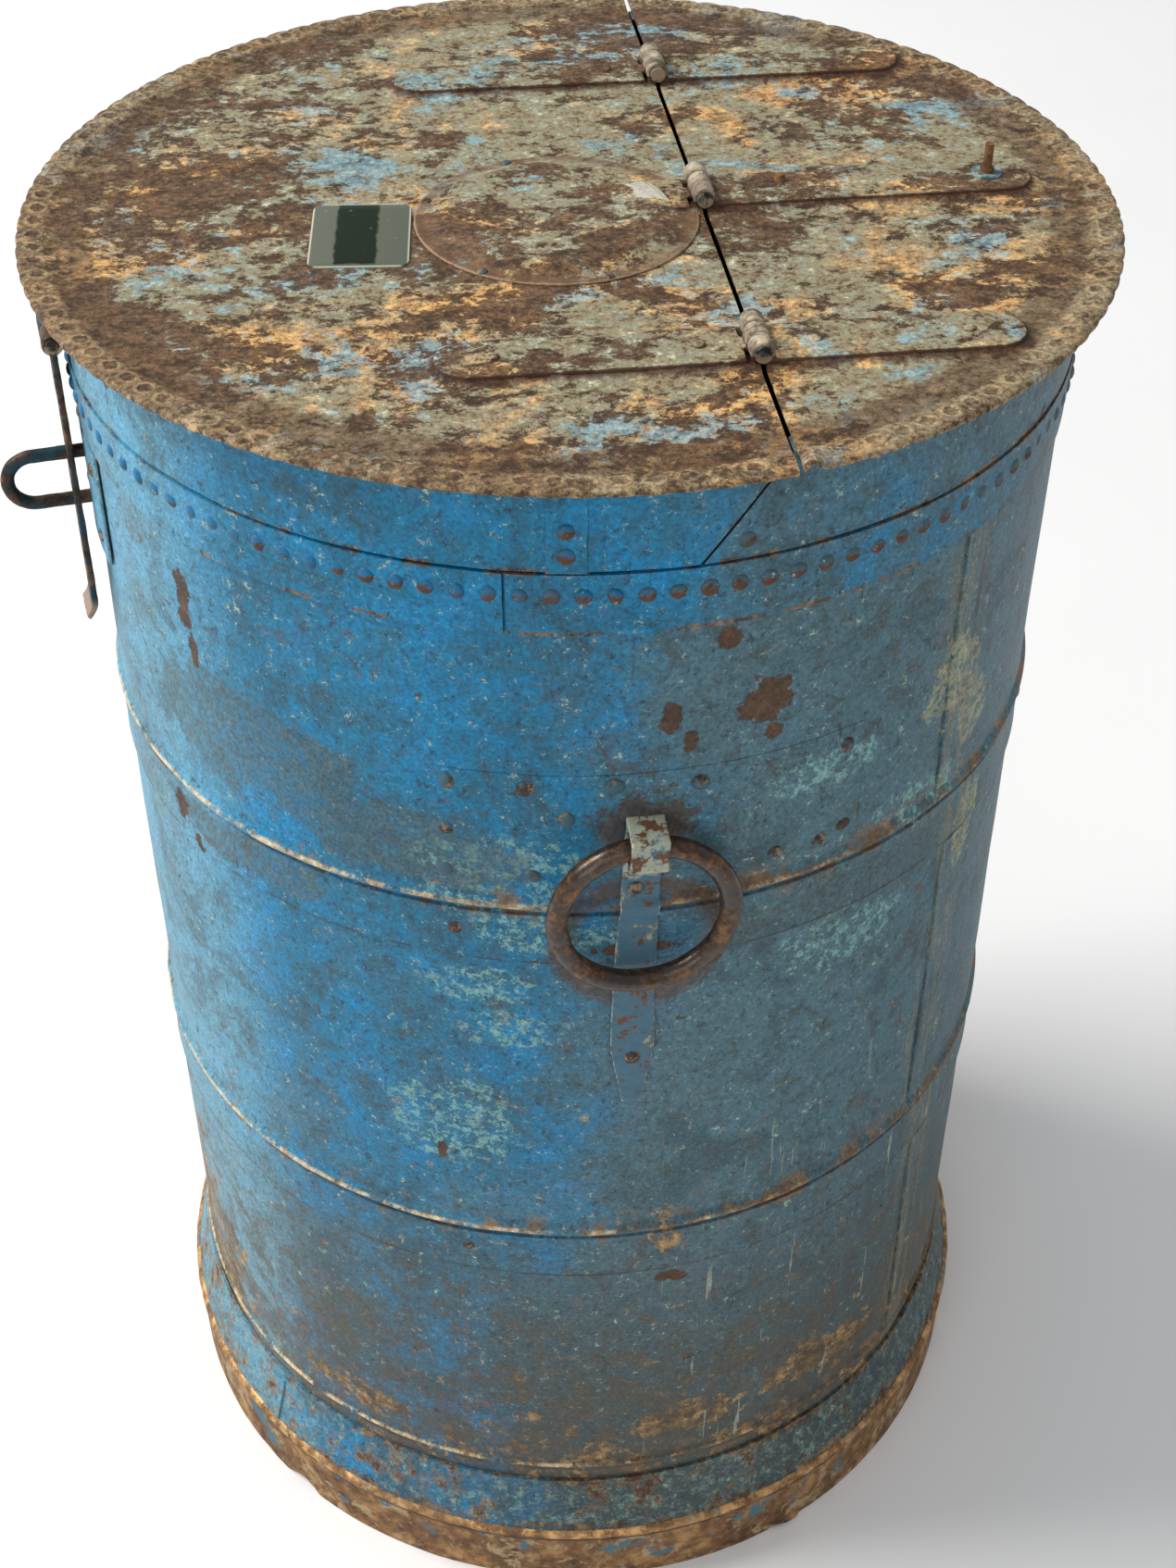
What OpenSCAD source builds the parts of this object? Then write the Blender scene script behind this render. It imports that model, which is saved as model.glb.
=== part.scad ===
// Riveted sheet-iron storage drum: three lapped courses on a rolled foot, and a lid in two parts,
// the larger one hinged on three straps and held by a hasp over a staple. Two ring handles.
// The drum's axis is Z, the floor is Z = 0, the hinge line runs along Y, and the hasp faces -X.

/* [Shell] */
// Outer radius of the plain wall
wall_r = 288; // [240:1:340]
// Thickness of the rolled sheet
sheet_t = 1.5; // [1:0.1:2.5]
// Height of the plain foot band below its rolled edge
foot_h = 50; // [35:1:70]
// Height of the base hoop above the foot
base_hoop_h = 45; // [30:1:60]
// Height from the base hoop to the lower edge of the middle course
lower_h = 231; // [180:1:300]
// Height of one course, from lap edge to lap edge
course_h = 279; // [220:1:340]
// Height from the upper course's lap edge to its top
upper_h = 264; // [200:1:320]
// Height from a lap edge to the swaged bead above it
lap_h = 43; // [30:1:55]
// Radius of the swaged bead
bead_r = 4; // [3:0.1:5]
// Width of a course's vertical seam
seam_w = 20; // [14:1:28]

/* [Foot] */
// Radius of the rolled edge's section
roll_r = 4.5; // [3.5:0.1:6]
// How far the foot band stands out from the wall
foot_flare = 12; // [10:0.5:18]
// Thickness of the foot band
foot_t = 3.2; // [2.5:0.1:4]

/* [Top hoop and collar] */
// Height of the top hoop
top_hoop_h = 37; // [30:1:50]
// Thickness of the top hoop
top_hoop_t = 3; // [2.5:0.1:4]
// Number of rivets round the top hoop
hoop_rivets = 116; // [60:1:140]
// How far the neck is drawn in from the wall
neck_draw = 5; // [4:0.1:8]
// Thickness of the collar
collar_t = 2; // [1.5:0.1:3]

/* [Lid] */
// Height of the lid skirt
skirt_h = 55.5; // [40:0.5:70]
// How far the lid overhangs its skirt
lid_overhang = 20; // [12:0.5:26]
// Width of the folded hem
hem_w = 19; // [12:0.5:24]
// Distance of the hinge line from the drum's axis
hinge_x = 73; // [50:1:95]
// Gap between the two lid plates
split_gap = 3; // [2:0.1:4]
// How far the slit runs sideways over the height of the skirt
slit_run = 43; // [34:1:56]

/* [Hinges] */
// Distance between neighbouring hinges
hinge_pitch = 177; // [150:1:190]
// Place of the middle hinge along the hinge line
hinge_mid_y = -5; // [-15:1:15]
// Width of a hinge leaf
leaf_w = 37; // [30:1:44]
// Thickness of a hinge leaf
leaf_t = 4; // [3:0.1:5]
// Length of the flap's long leaves, from the hinge line
flap_leaf_l = 165; // [120:1:200]
// How far the front fixed leaf's tip stops short of the hem
tip_gap_front = 5.4; // [0.5:0.1:30]
// How far the middle fixed leaf's tip stops short of the hem
tip_gap_mid = 25; // [0.5:0.5:40]
// How far the back fixed leaf's tip stops short of the hem
tip_gap_back = 0.5; // [0.5:0.1:30]
// Outer radius of a hinge knuckle
knuckle_r = 6.5; // [5.5:0.1:8]
// Radius of a hinge pin
pin_r = 3; // [2.5:0.1:3.6]

/* [Patch and plate] */
// Radius of the round patch
patch_r = 80; // [65:1:82]
// Length of the blank name plate
plate_l = 76; // [60:1:90]
// Width of the blank name plate
plate_w = 55; // [40:1:65]

/* [Ring handles] */
// Radius of the ring, to the middle of its bar
ring_r = 48.5; // [38:0.5:56]
// Radius of the ring's bar
ring_bar_r = 6.2; // [5:0.1:7]
// Height of the ring's pivot above the upper lap edge
ring_pivot_h = 97; // [80:1:110]
// Width of the ring's bracket, at its tail
bracket_w = 26; // [20:0.5:30]
// Width of the bracket's fold round the ring
loop_w = 21; // [18:0.5:26]
// Room over the ring's bar in the fold
loop_room = 2; // [1:0.5:6]
// Thickness of the bracket's strip
bracket_t = 3; // [2.5:0.1:4]

/* [Hasp] */
// Bearing of the hasp round the drum, in degrees
hasp_az = 188; // [180:1:192]
// Depth of the hasp's pivot below the lid plates
hasp_drop = 35; // [32:1:48]
// Length of the hasp below its pivot
hasp_l = 195; // [170:1:215]
// Width of the hasp
hasp_w = 26; // [22:0.5:32]
// Thickness of the hasp
hasp_t = 4; // [3:0.1:5]
// Depth of the staple's middle below the hasp's pivot
staple_drop = 98; // [90:1:108]
// Distance between the middles of the staple's legs
staple_gap = 31; // [28:1:44]
// Radius of the staple's bar
staple_bar_r = 4; // [3:0.1:4.5]
// How far the staple stands out from the hasp
staple_out = 39.5; // [28:0.5:44]

/* [Hidden] */
$fn = 64;

// Clearances that hold at any size
running = 0.05;
slack = 0.3;
far = 1000;

// Heights, from the floor up
roll_z = foot_h + 2.5;
base_hoop_z = roll_z + roll_r;
base_hoop_top = base_hoop_z + base_hoop_h;
base_bead_z = base_hoop_top + 17;
lap_1 = base_hoop_top + lower_h;
lap_2 = lap_1 + course_h;
wall_top = lap_2 + upper_h;
hoop_z = wall_top - top_hoop_h + 1;
hoop_top = hoop_z + top_hoop_h;
skirt_z = hoop_top + 1;
lid_z = skirt_z + skirt_h;
floor_z = roll_z - 3;
wall_z = floor_z - 1;

// Radii, from the wall out
lap_r = wall_r + sheet_t;
neck_r = wall_r - neck_draw;
hoop_r = wall_r + top_hoop_t;
skirt_r = wall_r + 2;
skirt_in = skirt_r - sheet_t;
lid_r = skirt_r + lid_overhang;
foot_r = wall_r + foot_flare + foot_t;
roll_mid = foot_r - foot_t / 2 - 1;

// Lid and hinges
lid_top = lid_z + sheet_t;
hem_t = 2;
flange_w = 14;
flange_t = 1.5;
axis_z = lid_top + knuckle_r + 0.5;
leaf_start = knuckle_r + 1.5;
knuckle_gap = 0.7;
knuckle_l = (leaf_w - 2 * knuckle_gap) / 3;
pin_head_r = pin_r + 1.5;
pin_head_h = 1.5;
hinge_ys = [hinge_mid_y - hinge_pitch, hinge_mid_y, hinge_mid_y + hinge_pitch];
// Length of a fixed leaf at y whose round tip stops short of the hem by gap
function fixed_reach(y, gap) =
    sqrt(pow(lid_r - hem_w - gap - leaf_w / 2, 2) - y * y) + leaf_w / 2 - hinge_x;
fixed_front_l = fixed_reach(hinge_ys[0], tip_gap_front);
fixed_middle_l = fixed_reach(hinge_ys[1], tip_gap_mid);
fixed_back_l = fixed_reach(hinge_ys[2], tip_gap_back);
flap_mid_leaf_l = 95;
flap_mid_leaf_t = leaf_t - 0.8;
patch_x = hinge_x - split_gap / 2 - 2.5 - patch_r;
patch_y = -24;
patch_t = 1.4;
patch_rise = flap_mid_leaf_t + slack;
plate_x = -121;
plate_y = -32;
plate_t = 1;
stud_x = hinge_x + fixed_middle_l - 25;
stud_r = 2.6;
stud_h = 17;
stump_x = hinge_x + 48;
leaf_rivet_in = 30;

// Bearings of the seams, joints and sheets round the drum
seam_azs = [-41.6, -44.5, -48];
hoop_joint_az = -103.5;
skirt_lap_az = -97.4;
backing_az = -88;

// Rivet heads: radius and height
hoop_head = [4.6, 2.4];
plain_head = [5, 2.2];
low_head = [4, 1.8];
patch_head = [3, 1.3];

// Backing sheets: half its arc, its edges, and rivets as [arc length from the middle, height up]
backing_half = 123;
backing_z = lap_2 + lap_h + bead_r + 4;
backing_h = 85;
backing_top = backing_z + backing_h;
backing_spots = [
    [-112, 76], [-70, 76], [-22, 78], [24, 75], [112, 73],
    [-113, 44], [-115, 14], [-66, 15], [-48, 56], [114, 16], [70, 13], [98, 11]
];

// Ring handle: the bar's place, and the bracket round it
sheet_r = wall_r + sheet_t;
strip_r = sheet_r + bracket_t;
ring_off = strip_r + 3.8 + ring_bar_r;
ring_z = lap_2 + ring_pivot_h;
bar_sag = ring_r - sqrt(ring_r * ring_r - loop_w * loop_w / 4);
slot_reach = ring_bar_r + bar_sag + 0.4;
loop_top = ring_z + ring_bar_r + loop_room;
tail_end = lap_2 - 115;

// Hasp
hasp_z = lid_z - hasp_drop;
hasp_knuckle_r = 6;
hasp_pin_r = 3;
bracket_plate_t = 2;
hasp_off = skirt_r + bracket_plate_t + hasp_knuckle_r + 0.5;
hasp_ear_l = 15;
staple_mid_z = hasp_z - staple_drop;
staple_plate_t = 2.5;
staple_plate_half = 45;
staple_plate_h = 72;
staple_plate_z = hoop_z - 4 - staple_plate_h;
plate_rivet_in = [12, 14];
staple_tip = hasp_off + hasp_t / 2 + staple_out;
hasp_slot_w = 2 * staple_bar_r + 3;
staple_high = staple_drop - staple_gap / 2 - staple_bar_r;
staple_low = staple_drop + staple_gap / 2 + staple_bar_r;
slot_high = staple_high - 2.5;
slot_low = sqrt(pow(staple_low, 2) + pow(staple_out, 2)) + 3.5;

paint = [0.10, 0.42, 0.66];
paint_dull = [0.22, 0.40, 0.50];
rust = [0.42, 0.26, 0.16];
patina = [0.48, 0.46, 0.36];
bare = [0.45, 0.42, 0.38];

// A radial section turned round the drum's axis
module turned(angle = 360) rotate_extrude(angle = angle, $fn = 180) children();

// The sector of a ring, centred on bearing az
module sector(r_in, r_out, z, h, az, arc) {
    turn = arc / r_in * 180 / PI;
    rotate([0, 0, az - turn / 2])
        turned(turn) translate([r_in, z]) square([r_out - r_in, h]);
}

// A rivet head standing on the surface of radius r, at bearing az and height z
module head(size, r, az, z) {
    ball = (size[0] * size[0] + size[1] * size[1]) / (2 * size[1]);
    rotate([0, 0, az]) translate([r, 0, z]) rotate([0, 90, 0]) dome(size, ball);
}

module dome(size, ball) {
    intersection() {
        translate([0, 0, size[1] - ball]) sphere(ball, $fn = 120);
        cylinder(size[1] + 1, r = size[0] + 1, $fn = 48);
    }
}

// A rivet head lying on a level face
module flat_head(size, x, y, z) {
    ball = (size[0] * size[0] + size[1] * size[1]) / (2 * size[1]);
    translate([x, y, z]) dome(size, ball);
}

// A level plate with rounded corners
module rounded_rect(l, w, r) {
    square([l - 2 * r, w], center = true);
    square([l, w - 2 * r], center = true);
    for (x = [-1, 1], y = [-1, 1])
        translate([x * (l / 2 - r), y * (w / 2 - r)]) circle(r, $fn = 32);
}

// The hollow swaged bead in a wall's section
module bead_section(z, r) {
    intersection() {
        translate([wall_r, z]) circle(r, $fn = 32);
        translate([wall_r - 0.1, z - r]) square([r + 1, 2 * r]);
    }
}

module bead_hollow(z, r) {
    translate([wall_r - sheet_t, z]) circle(r - sheet_t, $fn = 32);
}

// One lapped course: its lower edge covers the course below, up to the bead
module course(z, top, seam_az, seam_top) {
    bead_z = z + lap_h;
    turned() difference() {
        union() {
            translate([wall_r - sheet_t, bead_z - bead_r]) square([sheet_t, top - bead_z + bead_r]);
            translate([wall_r, z]) square([sheet_t, lap_h]);
            bead_section(bead_z, bead_r);
        }
        bead_hollow(bead_z, bead_r);
    }
    seam_z = bead_z + bead_r + 3;
    sector(wall_r - 0.5, wall_r + sheet_t, seam_z, seam_top - seam_z, seam_az, seam_w);
}

module shell_upper() color(paint) difference() {
    course(lap_2, wall_top, seam_azs[2], hoop_z - 1);
    staple_holes(wall_r - sheet_t - 1, wall_r + 1);
}

module shell_middle() color(paint)
    course(lap_1, lap_2 + lap_h - bead_r, seam_azs[1], lap_2 - 1);

module shell_lower() color(paint_dull) {
    small_bead = 2.4;
    turned() difference() {
        union() {
            translate([wall_r - sheet_t, wall_z])
                square([sheet_t, lap_1 + lap_h - bead_r - wall_z]);
            bead_section(base_bead_z, small_bead);
        }
        bead_hollow(base_bead_z, small_bead);
    }
    seam_z = base_bead_z + small_bead + 2;
    sector(wall_r - 0.5, wall_r + sheet_t, seam_z, lap_1 - 1 - seam_z, seam_azs[0], seam_w);
}

// The floor of the drum, with its turned-up flange
module bottom_plate() color(rust) turned() {
    r = wall_r - sheet_t;
    translate([0, floor_z]) square([r, 2]);
    translate([r - 2, floor_z]) square([2, 22]);
}

// The foot band with its rolled upper edge, its lower edge eaten away in places
module foot_ring() color(rust) difference() {
    turned() {
        translate([foot_r - foot_t, 0]) square([foot_t, roll_z]);
        translate([roll_mid, roll_z]) circle(roll_r, $fn = 40);
    }
    foot_notch(-139, 34, 9);
    foot_notch(-101, 16, 3.5);
    foot_notch(-66, 26, 6);
    foot_notch(38, 30, 7);
    foot_notch(151, 20, 5);
}

// A shallow bite out of the foot's lower edge
module foot_notch(az, w, h) {
    bite = (w * w / 4 + h * h) / (2 * h);
    rotate([0, 0, az]) translate([foot_r - foot_t - 1, 0, h - bite])
        rotate([0, 90, 0]) cylinder(foot_t + 2, r = bite, $fn = 48);
}

// The flared hoop between the wall and the foot's rolled edge
module base_hoop() color(paint_dull) {
    grip = 8;
    low_r = roll_mid - 1.2;
    turned() polygon([
        [wall_r, base_hoop_top], [wall_r + 2.4, base_hoop_top],
        [wall_r + 3.6, base_hoop_top - grip], [low_r + 2.4, base_hoop_z],
        [low_r, base_hoop_z], [wall_r, base_hoop_top - grip]
    ]);
    joint_turn = -142;
    rotate([0, 0, joint_turn]) intersection() {
        turned(3) polygon([
            [wall_r + 3.2, base_hoop_top - grip], [wall_r + 5.2, base_hoop_top - grip],
            [low_r + 4, base_hoop_z + 2], [low_r + 2, base_hoop_z + 2]
        ]);
        translate([0, 0, base_hoop_z]) cube([far, far, far]);
    }
}

// The collar inside the upper course: it stands up as the neck that the lid drops over
module collar() color(paint_dull) {
    r = wall_r - sheet_t;
    drawn_z = hoop_top + 6;
    turned() polygon([
        [r - collar_t, hoop_z + 4], [r, hoop_z + 4], [r, hoop_top - 5], [neck_r, drawn_z],
        [neck_r, lid_z - flange_t - slack], [neck_r - collar_t, lid_z - flange_t - slack],
        [neck_r - collar_t, drawn_z], [r - collar_t, hoop_top - 5]
    ]);
}

module top_hoop() color(paint) difference() {
    step_h = 17;
    turned() {
        translate([wall_r, hoop_z]) square([top_hoop_t - 0.8, step_h]);
        translate([wall_r, hoop_z + step_h]) square([top_hoop_t, top_hoop_h - step_h]);
    }
    rotate([0, 0, hoop_joint_az]) translate([wall_r - 1, -0.7, hoop_z - 1])
        cube([top_hoop_t + 2, 1.4, top_hoop_h + 2]);
}

module top_hoop_rivets() color(rust)
    for (i = [0 : hoop_rivets - 1])
        head(hoop_head, hoop_r, hoop_joint_az + (i + 0.5) * 360 / hoop_rivets, hoop_top - 12.5);

module lap_rivets() color(rust)
    for (z = [lap_1, lap_2], az = [-110, -20, 70, 160])
        head(plain_head, lap_r, az, z + lap_h / 2);

// Section of a lid plate with its hem folded over and hammered flat
module lid_section() {
    fold = 1.2;
    polygon([
        [0, lid_z], [lid_r - 2 * fold, lid_z], [lid_r - fold, lid_z - fold / 2],
        [lid_r, lid_z + fold / 2], [lid_r, lid_top + hem_t - fold], [lid_r - fold, lid_top + hem_t],
        [lid_r - hem_w + fold, lid_top + hem_t], [lid_r - hem_w, lid_top], [0, lid_top]
    ]);
}

module flap_side() translate([hinge_x - split_gap / 2 - far, -far / 2, 0]) cube([far, far, 2 * far]);
module fixed_side() translate([hinge_x + split_gap / 2, -far / 2, 0]) cube([far, far, 2 * far]);

module lid_flap_plate() color(patina) intersection() {
    turned() lid_section();
    flap_side();
}

module fixed_lid_plate() color(patina) intersection() {
    turned() lid_section();
    fixed_side();
}

module skirt_band() translate([skirt_in, skirt_z]) square([sheet_t, skirt_h]);
module skirt_flange()
    translate([skirt_r - flange_w, lid_z - flange_t]) square([flange_w, flange_t]);

// Everything on the flap's side of the slanted slit, whose edge is moved by shift
module slit_side(shift) rotate([90, 0, 0]) linear_extrude(far, center = true) polygon([
    [-far, skirt_z - 1],
    [hinge_x - split_gap / 2 - slit_run + shift - slit_run / skirt_h, skirt_z - 1],
    [hinge_x - split_gap / 2 + shift, lid_z], [hinge_x - split_gap / 2 + shift, lid_z + 10],
    [-far, lid_z + 10]
]);

// The flap's skirt: a band with an inner flange, its ends lapped at one place
module flap_skirt() color(paint) {
    intersection() {
        turned() skirt_band();
        slit_side(0);
    }
    intersection() {
        turned() skirt_flange();
        flap_side();
    }
    sector(skirt_r - 0.2, skirt_r + 1.2, skirt_z, skirt_h - 2, skirt_lap_az, 20);
}

module flap_skirt_rivets() color(paint_dull)
    for (z = [24.5, 10]) head(plain_head, skirt_r + 1.2, skirt_lap_az, skirt_z + z);

// The fixed skirt's rivets: two beside the slits, whatever their slant, and two at the back
slit_w = 1.8;
skirt_rivet_h = 10.5;
slit_rivet_in = 14;
slit_x = hinge_x - split_gap / 2 - slit_run * (1 - skirt_rivet_h / skirt_h) + slit_w;
slit_rivet_az = acos((slit_x + slit_rivet_in) / skirt_r);
fixed_skirt_spots = [-slit_rivet_az, -15, 15, slit_rivet_az];

// The fixed skirt, pressed in at each rivet until it meets the collar
module fixed_skirt() color(paint) {
    difference() {
        turned() skirt_band();
        slit_side(slit_w);
    }
    intersection() {
        turned() skirt_flange();
        fixed_side();
    }
    for (az = fixed_skirt_spots) intersection() {
        rotate([0, 0, az]) translate([neck_r - 2, 0, skirt_z + skirt_rivet_h]) rotate([0, 90, 0])
            cylinder(skirt_r - neck_r + 1.5, r1 = 6, r2 = 9, $fn = 32);
        turned() translate([neck_r, skirt_z]) square([skirt_in - neck_r + 0.5, skirt_h]);
    }
}

module fixed_skirt_rivets() color(paint_dull)
    for (az = fixed_skirt_spots) head(plain_head, skirt_r, az, skirt_z + skirt_rivet_h);

// A leaf outline of length l from the hinge line, square at the knuckles and round at its tip
module leaf_outline(l) {
    translate([leaf_start, -leaf_w / 2]) square([l - leaf_start - leaf_w / 2, leaf_w]);
    translate([l - leaf_w / 2, 0]) circle(leaf_w / 2, $fn = 48);
}

// One knuckle, with the leaf's neck running into it
module knuckle(y, neck_h) {
    translate([0, y, axis_z - lid_top]) rotate([-90, 0, 0]) cylinder(knuckle_l, r = knuckle_r);
    translate([0, y, 0.6]) cube([leaf_start + 1, knuckle_l, neck_h - 0.6]);
}

module pin_bore() translate([0, -leaf_w, axis_z - lid_top]) rotate([-90, 0, 0])
    cylinder(2 * leaf_w, r = pin_r + running);

// Leaf of the fixed lid: it has the two outer knuckles
module fixed_leaf(y, l) translate([hinge_x, y, lid_top]) difference() {
    union() {
        linear_extrude(leaf_t) leaf_outline(l);
        knuckle(-leaf_w / 2, leaf_t);
        knuckle(leaf_w / 2 - knuckle_l, leaf_t);
    }
    pin_bore();
}

// Leaf of the flap: it has the middle knuckle
module flap_leaf(y, l, t) translate([hinge_x, y, lid_top]) mirror([1, 0, 0]) difference() {
    union() {
        linear_extrude(t) leaf_outline(l);
        knuckle(-knuckle_l / 2, t);
    }
    pin_bore();
}

module hinge_pin(y) color(bare) translate([hinge_x, y, axis_z]) rotate([90, 0, 0]) {
    cylinder(leaf_w + 2 * slack, r = pin_r, center = true);
    for (side = [-1, 1]) translate([0, 0, side * (leaf_w / 2 + slack + pin_head_h / 2)])
        cylinder(pin_head_h, r = pin_head_r, center = true);
}

module fixed_leaf_front() color(patina) fixed_leaf(hinge_ys[0], fixed_front_l);
module fixed_leaf_middle() color(patina) fixed_leaf(hinge_ys[1], fixed_middle_l);
module fixed_leaf_back() color(patina) fixed_leaf(hinge_ys[2], fixed_back_l);
module flap_leaf_front() color(patina) flap_leaf(hinge_ys[0], flap_leaf_l, leaf_t);
module flap_leaf_middle() color(patina) flap_leaf(hinge_ys[1], flap_mid_leaf_l, flap_mid_leaf_t);
module flap_leaf_back() color(patina) flap_leaf(hinge_ys[2], flap_leaf_l, leaf_t);
module hinge_pin_front() hinge_pin(hinge_ys[0]);
module hinge_pin_middle() hinge_pin(hinge_ys[1]);
module hinge_pin_back() hinge_pin(hinge_ys[2]);

module fixed_leaf_rivets() color(rust) {
    z = lid_top + leaf_t;
    for (x = [leaf_rivet_in, fixed_front_l - leaf_rivet_in])
        flat_head(low_head, hinge_x + x, hinge_ys[0], z);
    for (x = [leaf_rivet_in, fixed_back_l - leaf_rivet_in])
        flat_head(low_head, hinge_x + x, hinge_ys[2], z);
    flat_head(low_head, hinge_x + 22, hinge_ys[1], z);
}

module flap_leaf_rivets() color(rust)
    for (y = [hinge_ys[0], hinge_ys[2]], x = [leaf_rivet_in, flap_leaf_l - leaf_rivet_in])
        flat_head(low_head, hinge_x - x, y, lid_top + leaf_t);

module strap_stud() color(rust) translate([stud_x, hinge_ys[1] + 2, lid_top + leaf_t + 1.2]) {
    cylinder(stud_h, r = stud_r, $fn = 32);
    cylinder(2.5, r = stud_r + 1.4, $fn = 32);
}

module stud_washer() color(bare) translate([stud_x, hinge_ys[1] + 2, lid_top + leaf_t])
    cylinder(1.2, r = 9, $fn = 40);

module rivet_stump() color(rust) translate([stump_x, hinge_ys[1] + 8, lid_top + leaf_t])
    cylinder(3.5, r1 = 3.4, r2 = 2.6, $fn = 24);

// The round patch: its rim lies on the lid, its middle stands over the hidden leaf
module patch_plate() color(patina) difference() {
    rim = 7;
    translate([patch_x, patch_y, lid_top]) rotate_extrude($fn = 120) polygon([
        [0, patch_rise], [patch_r - rim - 12, patch_rise], [patch_r - rim, 0], [patch_r, 0],
        [patch_r, patch_t], [patch_r - rim + 0.6, patch_t],
        [patch_r - rim - 11.4, patch_rise + patch_t], [0, patch_rise + patch_t]
    ]);
    translate([patch_x, hinge_ys[1] - leaf_w / 2 - slack, lid_top - 1])
        cube([2 * patch_r, leaf_w + 2 * slack, flap_mid_leaf_t + slack + 1]);
}

module patch_rivets() color(rust) {
    for (az = [106, 158, 232, 285]) translate([patch_x, patch_y, 0]) rotate([0, 0, az])
        flat_head(patch_head, patch_r - 3.4, 0, lid_top + patch_t);
}

module name_plate() color([0.16, 0.18, 0.14]) translate([plate_x, plate_y, lid_top])
    rotate([0, 0, -5]) linear_extrude(plate_t) rounded_rect(plate_w, plate_l, 7);

// Rear and front backing sheets, riveted to the upper course
module backing_sheet(az) color(paint)
    sector(wall_r, sheet_r, backing_z, backing_h, az, 2 * backing_half);

module backing_rivets(az) color(rust)
    for (p = backing_spots) head(plain_head, sheet_r, az + p[0] / sheet_r * 180 / PI, backing_z + p[1]);

// The wall's outline behind a bracket, from its tail up, as [radius, height]
strip_path = [
    [wall_r, tail_end - 5], [wall_r, lap_2 - 2.5], [lap_r, lap_2], [lap_r, lap_2 + lap_h - 8],
    [wall_r + bead_r + 0.5, lap_2 + lap_h - 3], [wall_r + bead_r + 0.5, lap_2 + lap_h + 3],
    [sheet_r, lap_2 + lap_h + 8], [sheet_r, loop_top + bracket_t]
];

// The bracket: one strip, riveted down the wall and folded into a loop round the ring's bar
module ring_bracket() color(paint_dull) {
    n = len(strip_path);
    taper_z = tail_end + 45;
    front = ring_off + slot_reach + bracket_t;
    low = ring_z - slot_reach - bracket_t;
    high = loop_top + bracket_t;
    intersection() {
        rotate([0, 0, -90]) rotate([0, 0, -6]) turned(12) polygon(concat(
            strip_path,
            [for (i = [n - 1 : -1 : 0]) strip_path[i] + [bracket_t, 0]]
        ));
        rotate([90, 0, 0]) linear_extrude(far) polygon([
            [-5.5, tail_end], [5.5, tail_end], [bracket_w / 2, taper_z], [loop_w / 2, low],
            [loop_w / 2, high], [-loop_w / 2, high], [-loop_w / 2, low], [-bracket_w / 2, taper_z]
        ]);
    }
    difference() {
        rotate([90, 0, 90]) translate([0, 0, -loop_w / 2]) linear_extrude(loop_w)
            difference() {
                translate([-(strip_r - 1 + front) / 2, (low + high) / 2])
                    rounded_rect(front - strip_r + 1, high - low, 3);
                translate([-(strip_r - 4 + front - bracket_t) / 2, (low + high) / 2])
                    rounded_rect(front - bracket_t - strip_r + 4, high - low - 2 * bracket_t, 2);
            }
        translate([0, 0, low - 1]) cylinder(bracket_t + 2, r = strip_r + 1.5, $fn = 180);
        translate([0, 0, low]) cylinder(high - low + 1, r = sheet_r, $fn = 180);
    }
}

module bracket_rivets() color(rust) {
    head(plain_head, strip_r, -90, lap_2 + lap_h + 16);
    head(plain_head, wall_r + bracket_t, -90, tail_end + 38);
}

module ring() color(rust) translate([0, -ring_off, ring_z - ring_r]) rotate([90, 0, 0])
    rotate_extrude($fn = 96) translate([ring_r, 0]) circle(ring_bar_r, $fn = 32);

module rear() rotate([0, 0, 180]) children();

module backing_sheet_front() backing_sheet(backing_az);
module backing_sheet_back() rear() backing_sheet(backing_az);
module backing_rivets_front() backing_rivets(backing_az);
module backing_rivets_back() rear() backing_rivets(backing_az);
module ring_bracket_front() ring_bracket();
module ring_bracket_back() rear() ring_bracket();
module bracket_rivets_front() bracket_rivets();
module bracket_rivets_back() rear() bracket_rivets();
module ring_front() ring();
module ring_back() rear() ring();

// The hasp's own frame: +X points outward from the drum at its bearing
module at_hasp() rotate([0, 0, hasp_az]) children();

module hasp_pin_line(l, r) translate([hasp_off, 0, hasp_z]) rotate([90, 0, 0])
    cylinder(l, r = r, center = true);

// The bracket on the flap's skirt, with an ear at each side of the hasp
module hasp_bracket() color(paint_dull) at_hasp() difference() {
    half = hasp_w / 2 + slack + hasp_ear_l;
    union() {
        intersection() {
            turned() translate([skirt_r, hasp_z - 6])
                square([bracket_plate_t, lid_z - hasp_z - 2]);
            translate([0, -half, 0]) cube([far, 2 * half, far]);
        }
        for (y = [-half, half - hasp_ear_l]) {
            translate([hasp_off, y, hasp_z]) rotate([-90, 0, 0])
                cylinder(hasp_ear_l, r = hasp_knuckle_r);
            translate([skirt_r - 8, y, hasp_z + 1])
                cube([hasp_off - skirt_r + 8, hasp_ear_l, hasp_knuckle_r - 1]);
        }
    }
    translate([0, 0, skirt_z]) cylinder(skirt_h + 1, r = skirt_r, $fn = 180);
    hasp_pin_line(far, hasp_pin_r + running);
}

module hasp_bracket_rivets() color(rust)
    for (turn = [-4.6, 0, 4.6])
        head([4, 2], skirt_r + bracket_plate_t, hasp_az + turn, lid_z - 16);

module hasp_pin() color(bare) at_hasp() {
    half = hasp_w / 2 + slack + hasp_ear_l;
    hasp_pin_line(2 * half + 2 * slack, hasp_pin_r);
    for (side = [-1, 1]) translate([hasp_off, side * (half + slack + 1), hasp_z])
        rotate([90, 0, 0]) cylinder(2, r = hasp_pin_r + 1.6, center = true);
}

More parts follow.
